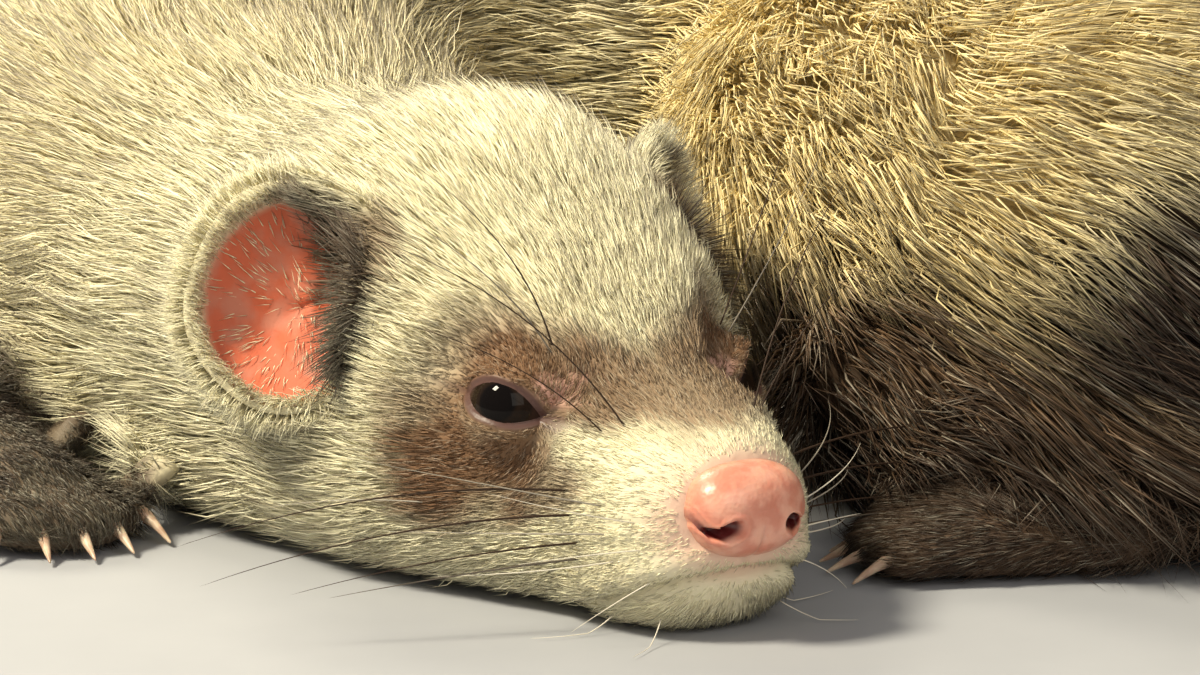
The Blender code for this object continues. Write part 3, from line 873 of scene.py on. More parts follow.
# %% [markdown]
# A ferret's eye is a dark bead: nearly black, with a brown iris that shows only at its edge, under
# a clear wet cornea. A sphere of the right size gives the ball, its front drawn out a little for the
# cornea. One glossy finish does what a second glass shell would do, and it bakes.

# %% Eyes
eye_finish = Finish("dark wet eye", Roughness=0.04, Specular_IOR_Level=0.10)
IRIS_RADIUS, PUPIL_RADIUS = 2.9, 1.75


def add_eye(name, side):
    eye = add_ball(name, eye_centre(side), EYE_RADIUS, level=6)
    face = eye_axes(side)[0]
    points = points_of(eye)
    rel = points - eye_centre(side)
    ahead = rel @ face / EYE_RADIUS
    cornea = 1 + 0.035 * soft_step(0.72, 1.0, ahead)
    points = eye_centre(side) + rel * cornea[:, None]
    move_points(eye, points)
    aside = np.linalg.norm(rel - np.outer(rel @ face, face), axis=1) / IRIS_RADIUS
    aside = np.where(ahead > 0, aside, 2.0)
    keep(eye, "iris", aside)
    face_outwards(eye)
    bpy.ops.object.shade_smooth()
    shade(eye, eye_finish)
    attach(eye, "root")
    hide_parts(name)
    return eye


iris = eye_finish.attribute("iris")
fibres = eye_finish.noise(2600.0, 3.0)
iris_colour = eye_finish.mix((0.008, 0.005, 0.003), (0.020, 0.011, 0.007), fibres)
pupil = iris.between(PUPIL_RADIUS / IRIS_RADIUS - 0.06, PUPIL_RADIUS / IRIS_RADIUS + 0.10)
ball_colour = eye_finish.mix((0.004, 0.003, 0.003), iris_colour, pupil)
edge = iris.between(1.00, 1.12)
eye_finish.feed(Base_Color=eye_finish.mix(ball_colour, (0.030, 0.016, 0.012), edge))
eyes = [add_eye("eye_" + word, side) for word, side in SIDES]
print("eyes of", 2 * EYE_RADIUS, "mm")

# %% [markdown]
# The nose leather is bare, pink and moist, one soft block with a comma-shaped nostril low on each
# side whose tail runs up round the wing. It is an ellipsoid with many faces, squared a little, and
# the nostrils are pressed into it by distance from their own curve.

# %% Nose leather
NOSTRIL = np.array((
    (-3.0, -1.0), (-3.7, -1.35), (-4.5, -1.45), (-5.2, -1.05), (-5.75, -0.2), (-6.1, 0.9),
))
NOSTRIL_WIDE = np.array((0.80, 0.85, 0.58, 0.34, 0.26, 0.18))
NOSTRIL_DEEP = np.array((2.2, 2.4, 1.5, 0.85, 0.65, 0.35))


def add_nose():
    """The leather block with its nostrils and the groove between them pressed in."""
    back, out, up = NOSE_PLACE
    deselect()
    bpy.ops.mesh.primitive_uv_sphere_add(segments=176, ring_count=120, radius=1.0)
    nose = bpy.context.object
    way = read(nose.data.vertices, "co", 3).astype(float)[:, [2, 0, 1]]
    ahead, aside, above = way[:, 0], way[:, 1], way[:, 2]
    square = (np.abs(ahead) ** 2.3 + np.abs(aside) ** 2.5 + np.abs(above) ** 2.4) ** (-1 / 2.4)
    form = np.column_stack((ahead, aside, above)) * square[:, None] * NOSE_HALF
    form[:, 1] *= 1 + 0.05 * (form[:, 2] / NOSE_HALF[2])
    press = np.zeros(len(form))
    for mirror in (1, -1):
        best = np.full(len(form), 1e9)
        deep, wide = np.zeros(len(form)), np.ones(len(form))
        for k in range(len(NOSTRIL) - 1):
            a, b = NOSTRIL[k] * (mirror, 1), NOSTRIL[k + 1] * (mirror, 1)
            line = b - a
            share = np.clip((form[:, 1:] - a) @ line / (line @ line), 0, 1)
            gap = np.linalg.norm(form[:, 1:] - a - share[:, None] * line, axis=1)
            nearer = gap < best
            best = np.where(nearer, gap, best)
            here_wide = NOSTRIL_WIDE[k] + (NOSTRIL_WIDE[k + 1] - NOSTRIL_WIDE[k]) * share
            here_deep = NOSTRIL_DEEP[k] + (NOSTRIL_DEEP[k + 1] - NOSTRIL_DEEP[k]) * share
            wide = np.where(nearer, here_wide, wide)
            deep = np.where(nearer, here_deep, deep)
        press += deep * soft_step(1.25, 0.35, best / wide) * soft_step(-2.6, -1.4, form[:, 0])
        press -= 0.16 * soft_step(2.2, 1.2, best / wide) * soft_step(1.0, 1.5, best / wide)
    groove = 0.22 * np.exp(-(form[:, 1] / 0.35) ** 2) * soft_step(0.5, -2.5, form[:, 2])
    press += groove * (form[:, 0] > 0)
    ones = np.ones(len(form))
    hollow = np.column_stack((ones, -0.35 * np.sign(form[:, 1]), -0.15 * ones))
    form -= np.where(press[:, None] > 0, hollow, way) * press[:, None]
    points = head_place(back, out, up) - np.outer(form[:, 0], HEAD_BACK)
    points += np.outer(form[:, 1], HEAD_LEFT)
    points += np.outer(form[:, 2], UP)
    move_points(nose, points)
    nose = flat_object("nose")
    keep(nose, "pit", np.clip(press / 1.6, 0, 1))
    keep(nose, "rear", soft_step(1.5, -3.0, form[:, 0]))
    face_outwards(nose)
    bpy.ops.object.shade_smooth()
    return nose


nose_finish = Finish("moist nose leather", Roughness=0.36, Subsurface_Weight=0.25, Subsurface_Scale=0.002)
nose_finish.feed(Subsurface_Radius=(1.0, 0.35, 0.2), Coat_Weight=0.35, Coat_Roughness=0.22)
blotch = nose_finish.noise(420.0, 3.0)
pore_sockets = {0: nose_finish.place(), "Scale": 2600.0, "Smoothness": 0.6}
pore = nose_finish.add("ShaderNodeTexVoronoi", {"feature": "SMOOTH_F1"}, pore_sockets)
pink = nose_finish.mix((0.62, 0.23, 0.155), (0.74, 0.37, 0.27), blotch.between(0.35, 0.65))
pink = nose_finish.mix(pink, (0.66, 0.27, 0.17), nose_finish.attribute("rear"))
# painted shade: the nostrils are painted nearly black the deeper they are pressed in
nostril_shade = nose_finish.attribute("pit").between(0.12, 0.62)
nose_finish.feed(Base_Color=nose_finish.mix(pink, (0.10, 0.008, 0.008), nostril_shade))
nose_finish.feed(Roughness=0.30 + 0.22 * nose_finish.noise(1500.0))
nose_finish.bump(pore + nose_finish.noise(900.0) * 0.6, 0.30, 0.00012)
nose = add_nose()
shade(nose, nose_finish)
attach(nose, "root")
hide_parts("nose")
print("nose:", len(nose.data.polygons), "faces")

# %% [markdown]
# The markings are those of a sable ferret: a cream face with a brown mask over the eyes, tan to
# golden sides with dark-tipped guard hairs over them, and nearly black legs and tail. Skin and coat
# must agree, so one function of place says how much of each colour there is, and both ask it.

# %% Markings


def patch(back, out, up, centre, radii, cloud=0.0):
    """A soft patch on both sides of the head: 1 inside, 0 outside."""
    reach = ((back - centre[0]) / radii[0]) ** 2 + ((np.abs(out) - centre[1]) / radii[1]) ** 2
    reach = np.sqrt(reach + ((up - centre[2]) / radii[2]) ** 2)
    return soft_step(1.25, 0.75, reach + cloud)


# back, out, up, half width and strength at each station of the band over the eye and the one below
MASK_BANDS = (
    (
        (11.8, 0.0, 22.0, 6.0, 0.80), (16.8, 6.0, 22.4, 5.2, 0.88),
        (25.0, 12.0, 23.5, 3.9, 1.0), (31.0, 16.0, 20.0, 3.2, 1.0),
    ),
    (
        (31.5, 16.5, 19.0, 3.8, 0.95), (28.0, 16.8, 13.4, 5.2, 1.0),
        (21.5, 13.6, 13.6, 4.4, 1.0), (14.5, 10.8, 13.4, 1.6, 0.6),
    ),
)


def on_leg(leg_gap, full, paw):
    """1 on a leg that stands clear of the body, 0 elsewhere."""
    clear = np.maximum(soft_step(1.03, 1.16, full), paw * soft_step(0.86, 0.93, full))
    return soft_step(1.0, -0.8, leg_gap - 0.9 * paw) * clear


def markings(points):
    """Shares of sable, of mask brown, of gold, of bare pink and of dark guard hairs at each place."""
    distance, _, full = where_on_body(points)
    back, out, up = in_head(points)
    leg_gap, _, paw = leg_distance(points)
    cloud = wobble(points, 9.0, 3) * 0.10
    fine_cloud = wobble(points, 3.2, 4) * 0.10
    head = near_head(points) & (on_leg(leg_gap, full, paw) < 0.5)
    mask = np.zeros(len(points))
    for stations in MASK_BANDS:
        for start, end in zip(stations, stations[1:]):
            a, b = np.array(start[:3]), np.array(end[:3])
            rel = np.column_stack((back, np.abs(out), up)) - a
            share = np.clip(rel @ (b - a) / ((b - a) @ (b - a)), 0, 1)
            gap = np.linalg.norm(rel - share[:, None] * (b - a), axis=1)
            wide = start[3] + (end[3] - start[3]) * share
            strong = start[4] + (end[4] - start[4]) * share
            band = strong * soft_step(1.35, 0.65, gap / wide + (cloud + fine_cloud) * 1.3)
            mask = np.maximum(mask, band)
    mask = np.maximum(mask, 0.9 * soft_step(7.6, 5.8, eye_gap(points)))
    before_ear = patch(back, out, up, (41.0, 17.0, 31.5), (4.4, 5.0, 5.0), fine_cloud)
    mask = np.maximum(mask, 0.75 * before_ear)
    mask *= head
    sable = soft_step(388, 404, distance + 14 * cloud) * (distance > 380)
    hind = np.linalg.norm((points - (54, 28, 28)) / (17, 18, 11), axis=1)
    sable = np.maximum(sable, soft_step(1.15, 0.75, hind + cloud * 2) * (distance > 112))
    sable = np.maximum(sable, on_leg(leg_gap, full, paw) * (0.93 + 0.5 * fine_cloud) * ~head)
    # low on the haunch the coat turns brown: partly its own darker fur, partly painted shade that grows
    # towards the floor
    haunch_dark_and_shade = soft_step(286, 318, distance + 30 * cloud)
    haunch_dark_and_shade *= soft_step(31, 20, points[:, 2] + 34 * cloud + 14 * fine_cloud)
    mask = np.maximum(mask, haunch_dark_and_shade * 0.95 * (distance < 384))
    sable = np.maximum(sable, haunch_dark_and_shade * 0.45 * (distance < 384))
    low_leg = soft_step(1.5, -1.0, leg_gap) * (distance > 70)
    low_leg *= soft_step(24, 12, points[:, 2] + 20 * cloud)
    sable = np.maximum(sable, low_leg * 0.85)
    gold = soft_step(196, 226, distance + 30 * cloud) * soft_step(372, 340, distance + 30 * cloud)
    gold = np.maximum(gold, 0.35 * soft_step(70, 110, distance)) * (distance < 372)
    cup = ear_parts(points)
    front = soft_step(0.02, 0.34, 0.15 * cup[:, 1] - cup[:, 0]) * on_ear(points)
    front *= soft_step(1.10, 1.03, np.linalg.norm(cup, axis=1))
    front *= soft_step(1.04, 0.98, np.hypot(cup[:, 0], cup[:, 1]))
    sable = np.maximum(sable, 0.9 * front)
    pink = patch(back, out, up, (20.0, 8.5, 22.0), (2.6, 3.0, 2.4), fine_cloud) * 0.8
    pink = np.maximum(pink, patch(back, out, up, (5.0, 0.0, 12.0), (6.0, 9.0, 6.0)) * 0.7)
    pink *= head
    guard = 0.12 + 0.44 * soft_step(72, 112, distance) * soft_step(222, 196, distance + 20 * cloud)
    guard += 0.16 * soft_step(44, 62, np.where(head, back, 0)) * soft_step(24, 34, up)
    guard += 0.14 * soft_step(42, 54, points[:, 2]) * soft_step(190, 240, distance) * (distance < 372)
    guard += 0.22 * soft_step(330, 365, distance)
    return np.column_stack((sable, mask, gold, pink, np.clip(guard, 0, 1)))


def store_marks(obj, marks):
    """Keep the shares with the mesh, as two attributes that the finishes read."""
    keep_three(obj, "marks", marks[:, :3])
    keep(obj, "bare", marks[:, 3])


CREAM, TAN, GOLD = (0.90, 0.86, 0.62), (0.66, 0.54, 0.34), (0.96, 0.80, 0.42)
MASK_BROWN, SABLE, PINK_SKIN = (0.215, 0.115, 0.058), (0.028, 0.016, 0.011), (0.72, 0.42, 0.34)


def marked_colour(finish, cloud):
    """Cream clouded with tan, gold, mask brown and sable by the stored shares."""
    parts = finish.add("ShaderNodeSeparateColor", {}, {0: finish.attribute("marks", out=0)})
    sable, mask, gold = (Number(finish, socket) for socket in parts.socket.node.outputs[:3])
    colour = finish.mix(CREAM, TAN, cloud.between(0.45, 0.75) * 0.35)
    colour = finish.mix(colour, GOLD, gold)
    colour = finish.mix(colour, MASK_BROWN, mask)
    return finish.mix(colour, SABLE, sable)


skin_finish = Finish("skin under the coat", Roughness=0.62, Specular_IOR_Level=0.3)
under = marked_colour(skin_finish, skin_finish.noise(55.0, 3.0))
thin = skin_finish.attribute("bare")
# painted shade: the skin between the locks is darkened as if in the coat's shadow
shaded_under = skin_finish.mix(under, (0.24, 0.15, 0.09), 0.30)
skin_colour = skin_finish.mix(shaded_under, PINK_SKIN, thin)
cup = skin_finish.attribute("cup")
vein = skin_finish.noise(300.0, 4.0)
# the inside of the cup is its own pink skin with veins, painted a deep orange red as a painted glow of
# light shining through the thin ear
ear_skin_and_glow = skin_finish.mix((0.60, 0.135, 0.065), (0.56, 0.20, 0.13), vein.between(0.40, 0.62))
skin_colour = skin_finish.mix(skin_colour, ear_skin_and_glow, cup)
# the bare lid rims and the inner corner are painted nearly black: partly their own dark skin, partly
# painted shade round the eye opening
lid_rim_dark_and_shade = skin_finish.attribute("lid")
skin_colour = skin_finish.mix(skin_colour, (0.095, 0.048, 0.040), lid_rim_dark_and_shade)
skin_finish.feed(Base_Color=skin_colour, Roughness=0.62 - 0.22 * lid_rim_dark_and_shade)
skin_finish.bump(skin_finish.noise(1400.0, 3.0), 0.35, 0.00015)
active(skin)
bpy.ops.object.shade_smooth()
shade(skin, skin_finish)


def lid_share(points):
    """1 at the bare rims of the lids and in the inner corner, 0 outside them."""
    share = np.zeros(len(points))
    for _, side in SIDES:
        face, inner, across = eye_axes(side)
        rel = points - eye_centre(side)
        reach = np.linalg.norm(rel, axis=1)
        way = rel / reach[:, None]
        gap = opening_gap(way @ inner * EYE_RADIUS, way @ across * EYE_RADIUS)
        near = (way @ face > 0) & (reach < 7)
        share = np.maximum(share, soft_step(0.62, 0.22, gap) * near)
    return share


skin_points = points_of(skin)
skin_marks = markings(skin_points)
store_marks(skin, skin_marks)
cup_depth = ear_parts(skin_points)
inner = soft_step(1.06, 1.0, np.linalg.norm(cup_depth, axis=1)) * on_ear(skin_points)
inner *= soft_step(0.97, 0.88, np.hypot(cup_depth[:, 0], cup_depth[:, 1]))
keep(skin, "cup", inner)
keep(skin, "lid", lid_share(skin_points))
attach(skin, "root")
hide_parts(*FLESH, "ear_left", "ear_right")
print("skin of", sum(len(face.vertices) - 2 for face in skin.data.polygons), "triangles, marked")

# %% [markdown]
# The coat is made of real locks, because particle hair is lost when a model leaves Blender. Each
# lock is a thin closed spindle: a point in the skin, three corners where it bends, and a point at
# the tip, six triangles in all. Its length, its lie and how close it stands come from where it
# grows: a millimetre on the nose, five on the brow, fifteen and more on the back.

# %% How the coat grows
LOCKS = 236000
LENGTH_ALONG = np.array((
    (0, 0.9), (5, 1.2), (10, 1.9), (18, 2.7), (26, 3.7), (36, 5.2), (46, 7.0), (58, 8.5), (66, 9.5),
    (90, 11.5), (125, 14.5), (250, 16.5), (350, 17.0), (384, 15.5), (480, 14.0), (500, 10.0), (513, 7.0),
))
CLOSENESS = np.array(((0.8, 22.0), (2.0, 18.0), (4.0, 12.0), (8.0, 5.6), (12.0, 3.3), (16.0, 2.5)))


def unit(ways):
    return ways / np.maximum(np.linalg.norm(ways, axis=1), 1e-9)[:, None]


def on_surface(ways, normals):
    return unit(ways - normals * (ways * normals).sum(axis=1)[:, None])


def lie_of_coat(points, normals):
    """Which way the hair lies: back from the nose, round the eyes, along the body, down the legs."""
    distance, _, full = where_on_body(points)
    back, out, _ = in_head(points)
    leg_gap, leg_way, paw = leg_distance(points)
    leg_share = on_leg(leg_gap, full, paw)[:, None]
    head = near_head(points) & (leg_share[:, 0] < 0.5)
    row = np.clip(distance, 0, PATH[-1, 0]).astype(int)
    way = np.column_stack((TAILWARD[row], np.zeros(len(points))))
    way[:, 2] -= 0.22 + 0.10 * wobble(points, 30.0, 8)
    swirl = wobble(points, 22.0, 9) * 0.20
    way[:, :2] += LEFTWARD[row] * swirl[:, None]
    from_nose = unit(points - head_place(1.0, 0, 12.5))
    on_head = HEAD_BACK * 0.75 + from_nose * 0.75 + np.outer(0.05 * wobble(points, 9.0, 10), UP)
    share = (soft_step(84, 56, np.where(head, back, distance)) * (distance < 90))[:, None]
    way = way * (1 - share) + on_head * share
    way = way * (1 - leg_share) + leg_way * leg_share
    way = on_surface(way, normals)
    for _, side in SIDES:
        rel = points - eye_centre(side)
        near = np.linalg.norm(rel, axis=1)
        away = on_surface(rel, normals)
        toward = np.minimum((way * away).sum(axis=1), 0)
        amount = np.exp(-((near - 4.5) / 5.0) ** 2) * head
        way = way - away * (toward * 1.35 * amount)[:, None] + away * (0.30 * amount)[:, None]
    cup = ear_parts(points)
    ear_share = on_ear(points)[:, None]
    ear_way = np.zeros_like(way)
    for _, side in SIDES:
        face, tip, across = ear_axes(side)
        mine = (out > 0) == (side > 0)
        radial = np.outer(cup[:, 0], across) + np.outer(cup[:, 1], tip) + face * 0.5
        front = soft_step(0.25, 0.70, -cup[:, 0])[:, None]
        radial = unit(radial) * (1 - front) + (face * 0.55 + across + tip * 0.25) * front
        ear_way[mine] = radial[mine]
    way = way * (1 - ear_share) + ear_way * ear_share
    return on_surface(way, normals)


def coat_fields(points, normals):
    """Length, closeness and lift of the coat at each point of the skin."""
    distance, _, full = where_on_body(points)
    back, out, up = in_head(points)
    head = near_head(points)
    length = np.interp(np.where(head, back, distance), LENGTH_ALONG[:, 0], LENGTH_ALONG[:, 1])
    fuller_cheek = 0.25 * soft_step(14, 22, np.abs(out)) * soft_step(28, 44, back)
    length = length * np.where(head, 1 + fuller_cheek, 1)
    leg_gap, _, paw = leg_distance(points)
    leg = on_leg(leg_gap, full, paw)
    head &= leg < 0.5
    length = length * (1 - leg) + leg * np.where(paw > 0.5, 3.0, 7.5)
    chin = soft_step(5.5, 2.5, up - mouth_level(back) + 4.5) * head
    chin *= soft_step(1.5, 5.0, back) * soft_step(32, 22, back)
    length = np.maximum(length, 2.9 * chin)
    near_eye = eye_gap(points) * head + 99 * ~head
    round_eye = 1.3 + 0.42 * np.clip(near_eye - 5.0, 0, None)
    length = np.where(near_eye < 14, np.minimum(length, round_eye), length)
    cup, shell = ear_parts(points), on_ear(points)
    inside = shell * soft_step(1.02, 0.94, np.linalg.norm(cup, axis=1))
    rim = shell * soft_step(0.84, 0.96, np.hypot(cup[:, 0], cup[:, 1]))
    rim *= soft_step(-0.75, -0.35, cup[:, 2])
    front = shell * soft_step(0.20, 0.60, -cup[:, 0])
    ear_length = 2.2 + 1.3 * rim + 4.4 * front * inside
    length = length * (1 - shell) + ear_length * shell
    depth = coat_depth(points)
    lift = np.arcsin(np.clip(depth / length * 0.95, 0.10, 0.62))
    lift = lift * (1 - shell) + shell * (0.30 + 0.35 * rim)
    closeness = np.interp(length, CLOSENESS[:, 0], CLOSENESS[:, 1])
    on_shell = 9.0 - 7.4 * inside * (1 - front) * (1 - rim) + 9.0 * rim
    closeness = np.where(shell > 0.5, on_shell, closeness)
    closeness *= 1 - 0.85 * soft_step(3.0, 1.2, points[:, 2]) * (normals[:, 2] < -0.4)
    closeness *= 1 - 0.6 * (np.abs(distance - 250) < 132) * (normals[:, 2] < -0.6)
    closeness *= 1 - lid_share(points)
    nose_rel = np.column_stack((back - NOSE_PLACE[0], out, up - NOSE_PLACE[2])) / (4.5, 6.1, 4.6)
    closeness *= np.linalg.norm(nose_rel, axis=1) > 1.0
    lips = np.abs(up - mouth_level(back)) < 0.35
    closeness *= 1 - (lips & head & (back < 21))
    return length, closeness, lift


def unwrap(obj):
    """A plain unwrap of the skin's own shape, for the coat's patches to refer to."""
    in_edit(obj)
    bpy.ops.uv.smart_project(angle_limit=math.radians(72), island_margin=0.001)
    out_of_edit()
    obj.data.uv_layers.active.name = "skin_map"


unwrap(skin)
skin_normals = normals_of(skin)
skin_fields = coat_fields(skin_points, skin_normals)
skin_lie = lie_of_coat(skin_points, skin_normals)
print("longest locks", round(float(skin_fields[0].max()), 1), "mm")

# %% [markdown]
# Locks are sown on the skin by its area and by how close the coat stands there. Hairs never lie
# quite parallel, and wet or oily tips draw together into points, so each lock turns a little off
# the lie, and its tip is drawn towards the tip of a leading lock near it.

# %% Sow the locks
ROOT_DEPTH, LEAST_HEIGHT = 0.25, 0.18
LOCKS_TO_A_LEADER = 13
BEND_AT = 0.45  # share of a lock's length
chance = np.random.default_rng(20)


def sow(obj, count):
    """Roots of locks: place, normal, lie, length, lift, marks and their place on the unwrap."""
    mesh = obj.data
    mesh.calc_loop_triangles()
    corners = read(mesh.loop_triangles, "vertices", 3, np.int32)
    loops = read(mesh.loop_triangles, "loops", 3, np.int32)
    flat = read(mesh.uv_layers["skin_map"].data, "uv", 2)
    a, b, c = (skin_points[corners[:, k]] for k in range(3))
    area = np.linalg.norm(np.cross(b - a, c - a), axis=1) / 2
    weight = area * skin_fields[1][corners].mean(axis=1)
    print("locks asked for", int(weight.sum()), "and sown", count)
    chosen = np.sort(chance.choice(len(corners), count, p=weight / weight.sum()))
    first, second = chance.random(count), chance.random(count)
    over = first + second > 1
    first[over], second[over] = 1 - first[over], 1 - second[over]
    shares = np.column_stack((1 - first - second, first, second))

    def blend(values):
        picked = values[corners[chosen]]
        if picked.ndim == 2:
            return (picked * shares).sum(axis=1)
        return (picked * shares[:, :, None]).sum(axis=1)

    uv = (flat[loops[chosen]] * shares[:, :, None]).sum(axis=1)
    return {
        "place": blend(skin_points),
        "normal": unit(blend(skin_normals)),
        "lie": unit(blend(skin_lie)),
        "length": blend(skin_fields[0]),
        "lift": blend(skin_fields[2]),
        "marks": blend(skin_marks),
        "uv": uv,
    }


def turned(ways, axes, angles):
    """Each way turned about its own axis."""
    cos, sin = np.cos(angles)[:, None], np.sin(angles)[:, None]
    dot = (ways * axes).sum(axis=1)[:, None]
    return ways * cos + np.cross(axes, ways) * sin + axes * dot * (1 - cos)


def raised(lie, normal, lift):
    return lie * np.cos(lift)[:, None] + normal * np.sin(lift)[:, None]


def form_locks(roots):
    """Bend and tip of every lock, drawn together into points."""
    count = len(roots["length"])
    guard = chance.random(count) < roots["marks"][:, 4] + 0.06
    length = roots["length"] * chance.uniform(0.72, 1.18, count) * np.where(guard, 1.22, 1.0)
    long = soft_step(4.0, 12.0, roots["length"])
    stray = chance.normal(0, 1, count) * (0.16 - 0.03 * long)
    stray += 0.12 * wobble(roots["place"], 2.2, 12) * (1 - long)
    stray += 0.16 * wobble(roots["place"], 7.0, 13) * long
    lie = turned(roots["lie"], roots["normal"], stray)
    lift = roots["lift"] * np.exp(chance.normal(0, 0.22, count)) + 0.04 * guard
    base = roots["place"] - roots["normal"] * ROOT_DEPTH
    bend = base + raised(lie, roots["normal"], lift * 1.45) * (length * BEND_AT)[:, None]
    tip = bend + raised(lie, roots["normal"], lift * 0.45) * (length * (1 - BEND_AT))[:, None]
    leaders = np.flatnonzero(chance.random(count) < 1 / LOCKS_TO_A_LEADER)
    tree = KDTree(len(leaders))
    for k, leader in enumerate(leaders):
        tree.insert(base[leader], k)
    tree.balance()
    nearest, gap = np.empty(count, int), np.empty(count)
    for k, place in enumerate(base.tolist()):
        _, nearest[k], gap[k] = tree.find(place)
    lead = leaders[nearest]
    pull = np.clip(0.62 - gap / (0.22 * roots["length"] + 0.4) * 0.25, 0, 0.62)
    pull *= chance.uniform(0.3, 1.0, len(leaders))[nearest] * (0.55 + 0.45 * long)
    same_length = (base[lead] + (tip[lead] - base[lead]) * (length / length[lead])[:, None])
    tip += (same_length - tip) * pull[:, None]
    bend += (bend[lead] - bend) * (pull * 0.25)[:, None]
    for part in (bend, tip):
        part[:, 2] = np.maximum(part[:, 2], LEAST_HEIGHT)
    width = (0.078 + 0.0098 * roots["length"]) * chance.uniform(0.75, 1.2, count)
    width *= np.where(guard, 0.8, 1.0)
    return base, bend, tip, width, guard


print("locks are drawn from a fixed seed")

# %% Make the coat's pieces
PIECE_LOCKS = 33000
LOCK_CORNERS = 5
PATCH = 0.0015
CORNER_TRIANGLES = np.array(((1, 2, 4), (2, 3, 4), (3, 1, 4), (2, 1, 0), (3, 2, 0), (1, 3, 0)))
CORNER_UV = np.array(((-1, -1), (-1, 1), (1, -1), (0.3, 0.3), (1, 1))) * PATCH


def add_locks(name, base, bend, tip, width, roots, guard, tone):
    """One mesh of closed spindles, with their marks and their patches on the unwrap."""
    count = len(base)
    axis = unit(tip - base)
    flat = unit(np.cross(axis, roots["normal"]))
    side = np.cross(axis, flat)
    roll = tone[:, 1] * 2 * math.pi
    corners = np.empty((count, LOCK_CORNERS, 3))
    corners[:, 0], corners[:, 4] = base, tip
    for k in range(3):
        angle = roll + k * 2 * math.pi / 3
        across = flat * np.cos(angle)[:, None] + side * np.sin(angle)[:, None]
        corners[:, k + 1] = bend + across * (width * 0.55)[:, None]
    faces = (np.arange(count)[:, None, None] * LOCK_CORNERS + CORNER_TRIANGLES[None]).reshape(-1, 3)
    mesh = bpy.data.meshes.new(name)
    mesh.vertices.add(count * LOCK_CORNERS)
    mesh.vertices.foreach_set("co", to_model(corners.reshape(-1, 3)).astype(np.float32).ravel())
    mesh.loops.add(len(faces) * 3)
    mesh.loops.foreach_set("vertex_index", faces.astype(np.int32).ravel())
    mesh.polygons.add(len(faces))
    mesh.polygons.foreach_set("loop_start", np.arange(0, len(faces) * 3, 3, dtype=np.int32))
    mesh.polygons.foreach_set("use_smooth", np.ones(len(faces), bool))
    mesh.update(calc_edges=True)
    uv = roots["uv"][:, None, :] + CORNER_UV[CORNER_TRIANGLES.ravel()][None]
    mesh.uv_layers.new(name="OFBake").data.foreach_set("uv", uv.astype(np.float32).ravel())
    obj = bpy.data.objects.new(name, mesh)
    bpy.context.scene.collection.objects.link(obj)
    store_marks(obj, np.repeat(roots["marks"], LOCK_CORNERS, axis=0))
    along = np.tile((0.0, BEND_AT, BEND_AT, BEND_AT, 1.0), count)
    lock_values = np.column_stack((tone[:, 0], guard)).repeat(LOCK_CORNERS, axis=0)
    keep_three(obj, "strand", np.column_stack((along, lock_values)))
    return obj


BRIGHT_HAIR, DUSKY_HAIR = (0.93, 0.88, 0.72), (0.24, 0.16, 0.09)
ROOT_SHADE, GUARD_TIP = (0.34, 0.22, 0.13), (0.075, 0.045, 0.028)


def coat_finish(name):
    """Hair with painted shade towards its root, varied lock by lock, with dark tips on the guard hairs.
    """
    finish = Finish(name, Roughness=0.48, Specular_IOR_Level=0.35)
    parts = finish.add("ShaderNodeSeparateColor", {}, {0: finish.attribute("strand", out=0)})
    along, tone, guard = (Number(finish, socket) for socket in parts.socket.node.outputs[:3])
    colour = marked_colour(finish, tone)
    colour = finish.mix(colour, BRIGHT_HAIR, tone.between(0.62, 1.0) * 0.22)
    colour = finish.mix(colour, DUSKY_HAIR, tone.between(0.30, 0.0) * 0.16)
    # painted shade: each lock is darkened towards its root, where the coat shades itself
    colour = finish.mix(colour, ROOT_SHADE, 0.15 - 0.15 * along.between(0.0, 0.45))
    guard_tip = guard * along.between(0.30, 0.85)
    finish.feed(Base_Color=finish.mix(colour, GUARD_TIP, guard_tip * 0.85))
    return finish


roots = sow(skin, LOCKS)
base, bend, tip, width, guard = form_locks(roots)
tone = chance.random((LOCKS, 2))
root_distance = where_on_body(roots["place"])[0]
root_back = in_head(roots["place"])[0]
is_head = near_head(roots["place"])
REGIONS = (
    ("coat_face", "face_coat"), ("coat_brow", "face_coat"), ("coat_crown", "face_coat"),
    ("coat_shoulders", "body_coat"), ("coat_back", "body_coat"), ("coat_rump", "body_coat"),
    ("coat_tail", "dark_coat"),
)
FACE_ENDS, BROW_ENDS = 24, 42
BODY_STARTS = (HEAD_ENDS, 160, 270, 388)
region = np.where(is_head & (root_back < FACE_ENDS), 0, np.where(is_head & (root_back < BROW_ENDS), 1, 2))
for number, start in enumerate(BODY_STARTS, 3):
    region = np.where(root_distance >= start, number, region)
slots = ("face_coat", "body_coat", "dark_coat")
finishes = {slot: coat_finish(slot.replace("_", " ")) for slot in slots}
for number, (name, slot) in enumerate(REGIONS):
    members = np.flatnonzero(region == number)
    shares = max(1, math.ceil(len(members) / PIECE_LOCKS))
    for k, some in enumerate(np.array_split(members, shares)):
        picked = {key: value[some] for key, value in roots.items()}
        shape = [values[some] for values in (base, bend, tip, width)]
        locks = add_locks(f"{name}_{k + 1}", *shape, picked, guard[some], tone[some])
        shade(locks, finishes[slot])
        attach(locks, "root")
        print(locks.name, len(some), "locks")

# %% [markdown]
# Whiskers are single stiff hairs, thick at the root and fine at the tip, in rows on the muzzle and
# in small groups over the eye and on the cheek. Each follows its own curve, given by where it
# starts in the head's frame and the way it bends, and a tapered tube is drawn round that curve.

# %% Whiskers
WHISKER_STEPS, WHISKER_SIDES = 26, 6
